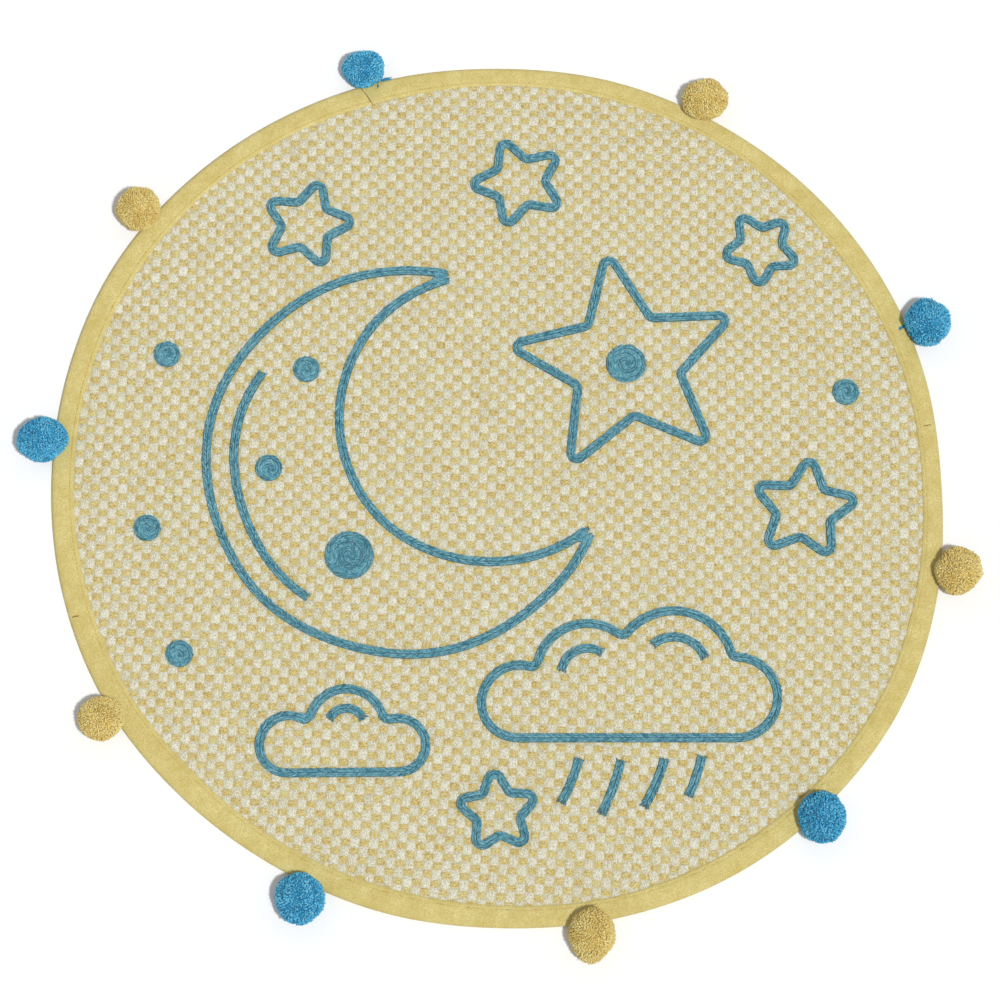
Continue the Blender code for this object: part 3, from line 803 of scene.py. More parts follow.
@dataclass(frozen=True)
class TapeCotton:
    """Plain-woven cotton tape, piece-dyed: an even fine grain, slightly mottled."""

    name: str
    body: str
    light: str
    deep: str
    thread: float = 0.9 * MM  # 0.4 mm in the tape, drawn coarser to show
    patch: float = 16 * MM  # the size of its paler patches
    slub: float = 1.1 * MM  # the length of the thick places in its threads

    def build(self) -> bpy.types.Material:
        """Builds the material."""
        material, shader = blank(self.name, 0.88, 0.12)
        tree = material.node_tree
        place = node(tree, "ShaderNodeTexCoord").outputs["Object"]
        unrolled = node(tree, "ShaderNodeUVMap", uv_map="UVMap").outputs[0]
        halves = []
        for row in ((math.tau / self.thread, 0.0, 0.0), (0.0, math.tau / self.thread, 0.0)):
            turn = node(tree, "ShaderNodeVectorMath", {0: unrolled, 1: row}, operation="DOT_PRODUCT")
            halves.append(node(tree, "ShaderNodeMath", {0: turn.outputs[1]}, operation="SINE").outputs[0])
        grain = node(tree, "ShaderNodeMath", {0: halves[0], 1: halves[1]}, operation="MULTIPLY").outputs[0]
        mottle = {"Vector": place, "Scale": 1 / self.patch, "Detail": 3.0, "Roughness": 0.6}
        patches = node(tree, "ShaderNodeTexNoise", mottle).outputs[0]
        lumps = {"Vector": place, "Scale": 1 / self.slub, "Detail": 2.0, "Roughness": 0.7}
        slubs = node(tree, "ShaderNodeTexNoise", lumps).outputs[0]
        broad = node(tree, "ShaderNodeMapRange", {0: patches, 1: 0.3, 2: 0.7}).outputs[0]
        fine = node(tree, "ShaderNodeMapRange", {0: slubs, 1: 0.3, 2: 0.7}).outputs[0]
        colours = {0: broad, 6: linear(self.body), 7: linear(self.light)}
        dyed = node(tree, "ShaderNodeMix", colours, data_type="RGBA").outputs[2]
        weak = node(tree, "ShaderNodeMath", {0: fine, 1: 0.75}, operation="MULTIPLY").outputs[0]
        colours = {0: weak, 6: dyed, 7: linear(self.deep)}
        seen = node(tree, "ShaderNodeMix", colours, data_type="RGBA").outputs[2]
        tree.links.new(seen, shader.inputs["Base Color"])
        weave = node(tree, "ShaderNodeBump", {"Height": grain, "Distance": 0.1 * MM, "Strength": 0.6})
        knots = {"Height": slubs, "Distance": 0.25 * MM, "Strength": 0.5, "Normal": weave.outputs[0]}
        relief = node(tree, "ShaderNodeBump", knots)
        tree.links.new(relief.outputs[0], shader.inputs["Normal"])
        return material


@dataclass(frozen=True)
class FloorPaint:
    """A matt white studio floor, rolled on: barely mottled."""

    name: str = "floor_white_paint"
    pale: str = "f6f6f6"
    grey: str = "f2f2f2"

    def build(self) -> bpy.types.Material:
        """Builds the material."""
        material, shader = blank(self.name, 0.9, 0.0)
        tree = material.node_tree
        place = node(tree, "ShaderNodeTexCoord").outputs["Object"]
        patches = node(tree, "ShaderNodeTexNoise", {"Vector": place, "Scale": 3.0, "Detail": 2.0})
        colours = {0: patches.outputs[0], 6: linear(self.pale), 7: linear(self.grey)}
        seen = node(tree, "ShaderNodeMix", colours, data_type="RGBA")
        tree.links.new(seen.outputs[2], shader.inputs["Base Color"])
        return material


# The woven field


@dataclass
class Field:
    """The thick woven panel: a ground cloth and the floats of warp and weft that cover it."""

    rim: Rim
    weave: Weave
    sower: Sower
    warp_width: float = 9.5 * MM
    warp_length: float = 11.9 * MM
    weft_width: float = 7.1 * MM
    weft_length: float = 10.0 * MM
    ragged: float = 0.36 * MM  # how far the floats' outlines stray
    rise: float = 1.25 * MM
    groove_share: float = 0.6  # how high the grooves between strands lie, as a share of the rise
    sway: float = 0.22 * MM  # how far a float strays from its place
    sway_deg: float = 1.6
    edge_in: float = 1.8 * MM  # the ground's edge, from the rim
    edge_round: float = 0.8 * MM
    lifts_in: tuple[float, float] = (27.7 * MM, 18.7 * MM)  # where the ground rises to the binding
    round_steps: int = 360
    seed: int = 11

    def ground(self, finish: bpy.types.Material) -> bpy.types.Object:
        """The ground cloth: flat on the floor, with its edge raised into the binding.

        Args:
            finish: its material.

        Returns:
            The piece.
        """
        rim, soft = self.rim.mean_radius, self.edge_round
        edge = rim - self.edge_in
        bound = rim - self.rim.mean_tape
        low_start, low_end = (rim - inset for inset in self.lifts_in)
        Bench.clear()
        bpy.ops.mesh.primitive_circle_add(
            vertices=self.round_steps, radius=low_start / 4, fill_type="NGON", location=(0, 0, 0)
        )
        obj = Bench.made("field_ground")
        Bench.edit(obj)
        rings = [(low_start / 2, 0), (low_start * 0.8, 0), (low_start, 0), (low_end, BOUND_LOW)]
        rings += [(edge - soft, BOUND_LOW), (edge, BOUND_LOW + soft), (edge, BOUND_HIGH - soft)]
        rings += [(edge - soft, BOUND_HIGH), (bound + 4 * MM, BOUND_HIGH), (bound - 3 * MM, GROUND_TOP)]
        rings += [(bound * 0.8, GROUND_TOP), (bound / 2, GROUND_TOP), (bound / 4, GROUND_TOP)]
        turn_rings(rings, low_start / 4)
        bpy.ops.mesh.edge_face_add()
        Bench.face_out()
        Bench.clear()
        put(obj, self.rim.lay(places_of(obj)))
        Bench.smooth(obj, 30)
        return finished(obj, finish, ["field_panel"])

    def _float(self, name: str, width: float, length: float, strands: int, sections: int) -> bpy.types.Object:
        """One float: strands side by side that rise from the ground and dive again at both ends.

        Args:
            name: the template's name.
            width: across its strands.
            length: along its strands.
            strands: how many lie side by side.
            sections: the rows of vertices along it.

        Returns:
            The template.
        """
        Bench.clear()
        bpy.ops.mesh.primitive_grid_add(x_subdivisions=2 * strands, y_subdivisions=sections - 1, size=1)
        obj = Bench.made(name)
        Bench.edit(obj)
        bpy.ops.transform.resize(value=(width, length, 1))
        side = width / (2 * strands)
        ends = length / (sections - 1)
        inside = length / 2 - 0.5 * ends
        for step in range(1, 2 * strands):
            x = -width / 2 + side * step
            lift = self.rise * (1 if step % 2 else self.groove_share)
            Bench.choose(obj, lambda co: abs(co.x - x) < side / 4 and abs(co.y) < inside)
            bpy.ops.transform.translate(value=(0, 0, lift))
        Bench.choose(obj, lambda co: abs(co.y) < inside - ends and abs(co.x) < width / 2 - side / 4)
        bpy.ops.transform.resize(value=(1, 1, 1.12), center_override=(0, 0, 0))
        Bench.choose(obj, lambda co: abs(co.x) > width / 2 - side / 4 and abs(co.y) > inside)
        bpy.ops.transform.resize(value=(0.84, 0.9, 1), center_override=(0, 0, 0))
        Bench.choose(obj, lambda co: inside - ends < abs(co.y) < inside and co.z > 0)
        bpy.ops.transform.resize(value=(1, 1.16, 1), center_override=(0, 0, 0))
        Bench.choose_rim(obj)
        bpy.ops.mesh.edge_face_add()
        Bench.face_out()
        Bench.smooth(obj, 70)
        return obj

    def floats(
        self, name: str, template: bpy.types.Object, odd: int, slant: float, finish: bpy.types.Material
    ) -> bpy.types.Object:
        """All floats of one yarn.

        Args:
            name: the piece's name.
            template: one float.
            odd: 0 for the warp or 1 for the weft.
            slant: their turn in radians.
            finish: the yarn's material.

        Returns:
            The piece.
        """
        draw = np.random.default_rng(self.seed + odd)
        middles = self.weave.checks(self.rim, odd)
        count = len(middles)
        inside = self.rim.tape_edge(middles[:, 0], middles[:, 1])
        pressed = np.clip((inside + 4 * MM) / (7 * MM), 0, 1)
        middles = middles + draw.normal(0, self.sway, (count, 2))
        places = np.column_stack([middles, np.full(count, FLOAT_FOOT)])
        slants = slant + draw.normal(0, math.radians(self.sway_deg), count)
        turns = np.column_stack([np.zeros((count, 2)), slants])
        heights = (0.88 + 0.12 * pressed) * draw.uniform(0.9, 1.08, count)
        sizes = np.column_stack([draw.normal(1, 0.035, count), draw.normal(1, 0.03, count), heights])
        shades = np.clip(draw.normal(0.5, 0.05, count), 0, 1)
        obj = self.sower.lay(name, template, places, turns, sizes, shades)
        Bench.discard(template)
        even = places_of(obj)
        x, y = even[:, 0] / MM, even[:, 1] / MM
        even[:, 0] += self.ragged * (np.sin(1.9 * y + 0.7 * x) + 0.7 * np.sin(3.1 * y - 1.3 * x + 1.0))
        even[:, 1] += self.ragged * (np.sin(2.1 * x - 0.5 * y + 2.0) + 0.7 * np.sin(2.9 * x + 1.1 * y + 0.3))
        put(obj, even)
        return finished(obj, finish)

    def warp(self, finish: bpy.types.Material) -> bpy.types.Object:
        """The cream floats, two strands each."""
        template = self._float("warp_float", self.warp_width, self.warp_length, 2, 5)
        slant = -math.radians(self.weave.column_lean_deg)
        return self.floats("field_warp_floats", template, 0, slant, finish)

    def weft(self, finish: bpy.types.Material) -> bpy.types.Object:
        """The mustard floats, three strands each, laid across."""
        template = self._float("weft_float", self.weft_width, self.weft_length, 3, 4)
        slant = math.pi / 2 - math.radians(self.weave.row_fall_deg)
        return self.floats("field_weft_floats", template, 1, slant, finish)


def turn_rings(rings: list[tuple[float, float]], radius: float, height: float = 0.0) -> None:
    """Draws the selected ring of the open mesh on through others, in edit mode.

    Args:
        rings: the radius and height of each ring in turn.
        radius: the radius of the ring that is selected.
        height: its height.
    """
    for wide, high in rings:
        bpy.ops.mesh.extrude_edges_move(
            MESH_OT_extrude_edges_indiv={"use_normal_flip": False, "mirror": False},
            TRANSFORM_OT_translate={"value": (0, 0, high - height)},
        )
        share = wide / radius
        bpy.ops.transform.resize(value=(share, share, 1), center_override=(0, 0, high))
        radius, height = wide, high


# The bound edge


@dataclass
class Binding:
    """The folded cotton tape, its row of stitches, and the lap where its two ends are joined."""

    rim: Rim
    sower: Sower
    round_steps: int = 1080
    stitch_in: float = 4.0 * MM  # from the tape's inner edge
    stitch_pitch: float = 4.7 * MM
    stitch_half: tuple[float, float, float] = (2.05 * MM, 0.5 * MM, 0.42 * MM)
    stitch_far: float = 1.2 * MM  # from its middle, where a stitch dives
    stitch_sunk: float = 0.3 * MM
    lap_deg: float = 108.0  # the bearing of the tape's join
    lap_slant_deg: float = 0.9
    lap_width_deg: float = 1.55
    lap_thickness: float = 0.45 * MM
    lap_fold: float = 0.14 * MM
    below: float = 18 * MM
    thickness: float = 1.1 * MM
    pucker: float = 0.2 * MM
    # bearings in degrees at the tape's inner and outer edge of creases, and their heights in millimetres
    creases: tuple[tuple[float, float, float], ...] = (
        (85.1, 86.8, 0.32),
        (287.5, 290.5, 0.3),
        (294.0, 298.0, 0.36),
        (301.5, 304.0, 0.26),
        (307.0, 303.5, 0.3),
        (318.0, 322.0, 0.22),
        (236.0, 233.0, 0.22),
        (196.0, 198.6, 0.24),
        (20.0, 23.0, 0.2),
        (352.0, 349.0, 0.22),
    )
    seed: int = 29

    def profile(self) -> list[tuple[float, float]]:
        """The tape's section round the edge: in from its upper edge, over the fold and back inside."""
        rim, above = self.rim.mean_radius, self.rim.mean_radius - self.rim.mean_tape
        below = rim - self.below
        stitch = above + self.stitch_in
        wall = rim - self.thickness
        top = TAPE_TOP
        return [
            (above + 0.3 * MM, TAPE_INSIDE - 0.5 * MM),
            (above - 0.05 * MM, top - 1.48 * MM),
            (above + 0.5 * MM, top - 1.08 * MM),
            (above + 1.5 * MM, top - 0.55 * MM),
            (above + 2.6 * MM, top - 0.12 * MM),
            (stitch - 0.7 * MM, top - 0.1 * MM),
            (stitch, top - 0.5 * MM),
            (stitch + 0.7 * MM, top - 0.14 * MM),
            (stitch + 2.0 * MM, top + 0.1 * MM),
            (stitch + 8.0 * MM, top + 0.1 * MM),
            (rim - 6.0 * MM, top + 0.05 * MM),
            (rim - 3.4 * MM, top - 0.1 * MM),
            (rim - 1.7 * MM, top - 0.6 * MM),
            (rim - 0.5 * MM, top - 1.6 * MM),
            (rim, top / 2),
            (rim - 0.5 * MM, 1.5 * MM),
            (rim - 1.8 * MM, 0.35 * MM),
            (rim - 3.6 * MM, 0.0),
            (below + 0.5 * MM, 0.0),
            (below, 0.4 * MM),
            (below, self.thickness),
            (wall - 1.0 * MM, self.thickness),
            (wall, self.thickness + 1.2 * MM),
            (wall, TAPE_INSIDE - 1.2 * MM),
            (wall - 1.0 * MM, TAPE_INSIDE),
        ]

    def tape(self, finish: bpy.types.Material) -> bpy.types.Object:
        """The folded tape, puckered along its stitches.

        Args:
            finish: its material.

        Returns:
            The piece.
        """
        (radius, height), *rings = self.profile()
        Bench.clear()
        bpy.ops.mesh.primitive_circle_add(
            vertices=self.round_steps, radius=radius, fill_type="NOTHING", location=(0, 0, height)
        )
        obj = Bench.made("binding_tape")
        Bench.take(obj)
        bpy.ops.object.transform_apply(location=True, rotation=False, scale=False)
        Bench.edit(obj)
        bpy.ops.mesh.select_all(action="SELECT")
        turn_rings(rings, radius, height)
        Bench.clear()
        even = places_of(obj)
        self._seam_to_start(obj)
        laid = self.rim.lay(even)
        laid[:, 2] += self._puckers(even)
        put(obj, laid)
        self._unroll(obj, even)
        Bench.smooth(obj, 50)
        return finished(obj, finish, ["edge_binding"])

    def _seam_to_start(self, obj: bpy.types.Object) -> None:
        """Bridges the last ring to the first, so that the tape's skin is closed."""
        Bench.edit(obj)
        Bench.choose_rim(obj)
        bpy.ops.mesh.bridge_edge_loops()
        Bench.face_out()
        Bench.clear()

    def _puckers(self, even: np.ndarray) -> np.ndarray:
        """How far each place of the tape is lifted by puckers and creases.

        Args:
            even: the places on the even tape.

        Returns:
            The lifts, nought below and at the fold.
        """
        radius = np.hypot(even[:, 0], even[:, 1])
        bearing = np.arctan2(even[:, 1], even[:, 0])
        inner = self.rim.mean_radius - self.rim.mean_tape
        across = (radius - inner) / self.rim.mean_tape
        round_way = bearing * self.rim.mean_radius
        upper = (even[:, 2] > TAPE_INSIDE + 0.3 * MM) * np.clip((1 - across) * 4, 0, 1)
        upper = upper * np.clip(across * 9, 0, 1)
        wave = (
            np.sin(math.tau * round_way / (14 * MM) + 5 * across + 3 * np.sin(3 * bearing))
            + 0.7 * np.sin(math.tau * round_way / (9.3 * MM) - 4 * across + 4 * np.sin(2 * bearing + 1))
            + 0.8 * np.sin(math.tau * round_way / (31 * MM) + 2 * across + 2)
        )
        strength = 0.45 + 0.55 * np.sin(bearing * 2 + 2.4) * np.sin(bearing * 5 + 0.6) + 0.5 * np.exp(
            -(((np.degrees(bearing) % 360 - 300) / 26) ** 2)
        )
        lift = self.pucker * strength * wave * (1.15 - across)
        for start, end, high in self.creases:
            line = start + (end - start) * across
            away = (np.degrees(bearing) - line + 180) % 360 - 180
            beside = np.radians(away) * self.rim.mean_radius
            lift += high * MM * np.exp(-((beside / (1.9 * MM)) ** 2))
            lift -= 0.5 * high * MM * np.exp(-(((beside - 4.2 * MM) / (2.4 * MM)) ** 2))
        return lift * upper

    def _unroll(self, obj: bpy.types.Object, even: np.ndarray) -> None:
        """Maps the tape flat, in metres round the rug and across the tape.

        Args:
            obj: the tape.
            even: the places on the even tape.
        """
        mesh = obj.data
        bearing = np.arctan2(even[:, 1], even[:, 0]) % math.tau
        rings = np.array([radius for radius, _ in self.profile()])
        heights = np.array([height for _, height in self.profile()])
        lengths = np.concatenate([[0], np.cumsum(np.hypot(np.diff(rings), np.diff(heights)))])
        ring_of = np.arange(len(even)) // self.round_steps
        across = lengths[ring_of]
        corners = np.empty(len(mesh.loops), dtype=np.int64)
        mesh.loops.foreach_get("vertex_index", corners)
        firsts = np.empty(len(mesh.polygons), dtype=np.int64)
        mesh.polygons.foreach_get("loop_start", firsts)
        turn = bearing[corners].reshape(-1, 4)
        wraps = (turn.max(axis=1) - turn.min(axis=1)) > math.pi
        turn[wraps] = np.where(turn[wraps] < math.pi, turn[wraps] + math.tau, turn[wraps])
        flat = np.column_stack([turn.ravel() * self.rim.mean_radius, across[corners]])
        layer = mesh.uv_layers.get("UVMap") or mesh.uv_layers.new(name="UVMap")
        layer.data.foreach_set("uv", flat.astype(np.float32).ravel())

    def stitches(self, finish: bpy.types.Material) -> bpy.types.Object:
        """The row of stitches along the tape's inner edge.

        Args:
            finish: the thread's material.

        Returns:
            The piece.
        """
        draw = np.random.default_rng(self.seed)
        even = self.rim.mean_radius - self.rim.mean_tape
        count = round(math.tau * even / self.stitch_pitch)
        bearing = (np.arange(count) + 0.5) * math.tau / count
        even += self.stitch_in
        line = self.rim.lay(
            np.column_stack([even * np.cos(bearing), even * np.sin(bearing), np.zeros(count)])
        )
        stray = draw.normal(0, 0.1 * MM, (count, 2))
        places = line + np.column_stack([stray, np.full(count, TAPE_TOP - self.stitch_sunk)])
        ahead = np.roll(line, -1, axis=0) - np.roll(line, 1, axis=0)
        heading = np.arctan2(ahead[:, 1], ahead[:, 0]) + draw.normal(0, math.radians(4), count)
        turns = np.column_stack([np.zeros((count, 2)), heading])
        sizes = np.column_stack([draw.normal(1, 0.05, count), np.ones((count, 2))])
        shades = draw.uniform(0.3, 0.8, count)
        template = Bench.strand("stitch", 4, self.stitch_half, self.stitch_far, self.stitch_sunk)
        obj = self.sower.lay("binding_stitches", template, places, turns, sizes, shades)
        Bench.discard(template)
        return finished(obj, finish)

    def lap(self, finish: bpy.types.Material) -> bpy.types.Object:
        """The tape's folded end, lapped on the slant over its start.

        Args:
            finish: the tape's material.

        Returns:
            The piece.
        """
        Bench.clear()
        bpy.ops.mesh.primitive_grid_add(x_subdivisions=5, y_subdivisions=9, size=1)
        obj = Bench.made("binding_lap")
        places = places_of(obj)
        across, out = places[:, 0] + 0.5, places[:, 1] + 0.5
        bearing = np.radians(self.lap_deg + self.lap_slant_deg * out - self.lap_width_deg * across)
        even = self.rim.mean_radius - self.rim.mean_tape * (1 - 0.985 * out) + 0.1 * MM
        flat = np.column_stack([even * np.cos(bearing), even * np.sin(bearing), np.full(len(out), TAPE_TOP)])
        laid = self.rim.lay(flat)
        rings = np.array(self.profile()[1:14])
        skin = np.interp(even, rings[:, 0], rings[:, 1])
        curl = self.lap_thickness * (1 - across) ** 2
        laid[:, 2] = skin + np.maximum(self._puckers(flat), 0) + 0.1 * MM + curl
        put(obj, laid)
        Bench.take(obj)
        wall = obj.modifiers.new("cloth", "SOLIDIFY")
        wall.thickness = self.lap_thickness
        wall.offset = -1
        bpy.ops.object.modifier_apply(modifier=wall.name)
        soft = obj.modifiers.new("fold", "BEVEL")
        soft.width = self.lap_fold
        soft.segments = 2
        soft.limit_method = "ANGLE"
        bpy.ops.object.modifier_apply(modifier=soft.name)
        Bench.smooth(obj, 50)
        return finished(obj, finish)


# The braid


@dataclass
class Braids:
    """Soft plaited cotton braid, sewn down flat: two ridges of slanting strands with a groove between."""

    drawing: Drawing
    sower: Sower
    lobe_half: tuple[float, float, float] = (2.9 * MM, 0.74 * MM, 0.95 * MM)
    lobe_dive: float = 0.8 * MM
    pitch: float = 2.0 * MM
    slant_deg: float = 24.0
    # rows of strands on each side: millimetres from the middle line, millimetres of height, degrees of roll
    rows: tuple[tuple[float, float, float], ...] = ((1.3, 8.15, 8.0), (3.2, 7.75, 26.0))
    stray_aside: float = 0.16 * MM
    stray_high: float = 0.12 * MM
    stray_deg: tuple[float, float, float] = (6, 4, 5)  # of a strand's roll, tip and yaw
    end_free: float = 1.4 * MM  # the frayed length at an open end
    frayed: int = 7  # yarns at an open end
    core_step: float = 2.2 * MM
    core_half: float = 4.3 * MM
    # the core's tone: dark, as painted shade where it shows in the groove and between the strands
    core_painted_shade: float = 0.3
    seed: int = 47

    def _section(self) -> bpy.types.Object:
        """The core's section: flat below, rounded above."""
        half, high = self.core_half, CORE_HIGH - BRAID_LOW
        left = ((-1, 0), (-0.97, 0.55), (-0.7, 1), (-0.2, 0.95))
        shares = left + tuple((-x, y) for x, y in left[::-1])
        corners = [(half * x, high * y, 0) for x, y in shares]
        return Bench.drawn("braid_core_section", corners, True, dimensions="2D")

    def _core(self, name: str, route: Route, section: bpy.types.Object) -> bpy.types.Object:
        """The braid's flat body below its strands, swept along a route."""
        places, _ = route.spaced(self.core_step, 0.0 if route.closed else self.end_free)
        obj = Bench.drawn(
            name,
            [(x, y, BRAID_LOW) for x, y in places],
            route.closed,
            dimensions="3D",
            twist_mode="Z_UP",
            bevel_mode="OBJECT",
            bevel_object=section,
            use_fill_caps=not route.closed,
        )
        Bench.take(obj)
        bpy.ops.object.convert(target="MESH")
        return Bench.made(name)

    def _strands(
        self, name: str, lobe: bpy.types.Object, route: Route, draw: np.random.Generator
    ) -> bpy.types.Object:
        """The slanting strands of both ridges along a route, and the frayed yarn at an open line's ends.

        Args:
            name: the mesh's name.
            lobe: the template of one strand.
            route: the line.
            draw: the hand's small differences.

        Returns:
            The joined mesh.
        """
        places, turns, sizes, shades = [], [], [], []
        middle, heading = route.spaced(self.pitch, 0.0 if route.closed else self.end_free)
        count = len(middle)
        normal = np.column_stack([-np.sin(heading), np.cos(heading)])
        strays = [math.radians(angle) for angle in self.stray_deg]
        for side in (1, -1):
            for index, (aside_mm, high_mm, roll_deg) in enumerate(self.rows):
                aside = side * (aside_mm * MM + draw.normal(0, self.stray_aside, count))
                step = ((0.5 if side < 0 else 0.0) + 0.35 * index + draw.normal(0, 0.1, count)) * self.pitch
                ahead = np.column_stack([np.cos(heading) * step, np.sin(heading) * step])
                high = high_mm * MM + draw.normal(0, self.stray_high, count)
                places.append(np.column_stack([middle + normal * aside[:, None] + ahead, high]))
                roll = -side * math.radians(roll_deg) + draw.normal(0, strays[0], count)
                tip = draw.normal(0, strays[1], count)
                yaw = heading - side * math.radians(self.slant_deg) + draw.normal(0, strays[2], count)
                turns.append(np.column_stack([roll, tip, yaw]))
                sizes.append(draw.normal(1, 0.07, (count, 3)))
                shades.append(np.clip(draw.normal(0.52, 0.24, count), 0.0, 1))
        if not route.closed:
            ends, heading = route.spaced(0.4 * MM)
            yarns = self.frayed
            fan = np.linspace(-1, 1, yarns)
            for index, out in ((0, math.pi), (-1, 0.0)):
                out_by = draw.uniform(-0.9, 0.9, yarns)[:, None] * MM
                way = heading[index] + out
                normal = np.array([-math.sin(way), math.cos(way)])
                ahead = np.array([math.cos(way), math.sin(way)])
                flat = ends[index] + normal * (fan * 4.1 * MM)[:, None] + ahead * out_by
                places.append(np.column_stack([flat, draw.uniform(6.6, 7.9, yarns) * MM]))
                yaw = way + fan * 0.42 + draw.normal(0, 0.1, yarns)
                turns.append(np.column_stack([np.zeros(yarns), np.full(yarns, 0.15), yaw]))
                sizes.append(np.column_stack([draw.uniform(0.65, 0.95, yarns), np.full((yarns, 2), 0.9)]))
                shades.append(draw.uniform(0.2, 0.8, yarns))
        rows = (np.vstack(places), np.vstack(turns), np.vstack(sizes), np.concatenate(shades))
        return self.sower.lay(name, lobe, *rows)

    def _spiral(self, centre: Vector, reach: float) -> Route:
        """The line of a wound dot, from its middle out and once round at its full radius."""
        turns = max(1, round(reach / self.drawing.BRAID_WIDTH))
        ridge = reach / (turns + 0.5)
        last = reach - ridge / 2
        angles = np.arange(0, math.tau * (last / ridge + 1), math.radians(6))
        radius = np.minimum(last, 0.9 * MM + ridge * angles / math.tau)
        points = ((centre.x + r * math.cos(a), centre.y + r * math.sin(a)) for r, a in zip(radius, angles))
        return Route(tuple(points), False)

    def _disc(self, name: str, centre: Vector, reach: float) -> bpy.types.Object:
        """The flat body of a wound dot."""
        Bench.clear()
        bpy.ops.mesh.primitive_cylinder_add(
            vertices=40,
            radius=reach - 0.8 * MM,
            depth=CORE_HIGH - BRAID_LOW,
            location=(centre.x, centre.y, (CORE_HIGH + BRAID_LOW) / 2),
        )
        obj = Bench.made(name)
        bpy.ops.object.transform_apply(location=True, rotation=False, scale=False)
        Bench.edit(obj)
        Bench.choose(obj, lambda co: co.z > (CORE_HIGH + BRAID_LOW) / 2)
        bpy.ops.mesh.bevel(offset=0.9 * MM, segments=2, affect="EDGES")
        Bench.clear()
        return obj

    def build(self, finish: bpy.types.Material) -> list[bpy.types.Object]:
        """Models every length of braid in the place of its solid.

        Args:
            finish: the braid's material.

        Returns:
            The pieces.
        """
        draw = np.random.default_rng(self.seed)
        lobe = Bench.strand("braid_lobe", 3, self.lobe_half, 0.95 * self.lobe_half[0], self.lobe_dive)
        section = self._section()
        made = []
        # Each core is marked dark: painted shade where it shows between the strands.
        for solid, route in self.drawing.routes().items():
            core = self._core(f"{solid}_core", route, section)
            mark(core, "shade", np.array(self.core_painted_shade))
            strands = self._strands(f"{solid}_strands", lobe, route, draw)
            piece = Bench.join(solid.replace("braid_", "laid_braid_"), [strands, core])
            made.append(finished(piece, finish, [solid]))
        for solid, (centre, reach) in self.drawing.coils().items():
            disc = self._disc(f"{solid}_core", centre, reach)
            mark(disc, "shade", np.array(self.core_painted_shade))
            strands = self._strands(f"{solid}_strands", lobe, self._spiral(centre, reach), draw)
            piece = Bench.join(solid.replace("braid_", "wound_"), [strands, disc])
            made.append(finished(piece, finish, [solid]))
        Bench.discard(lobe)
        Bench.discard(section)
        return made


# The pompoms


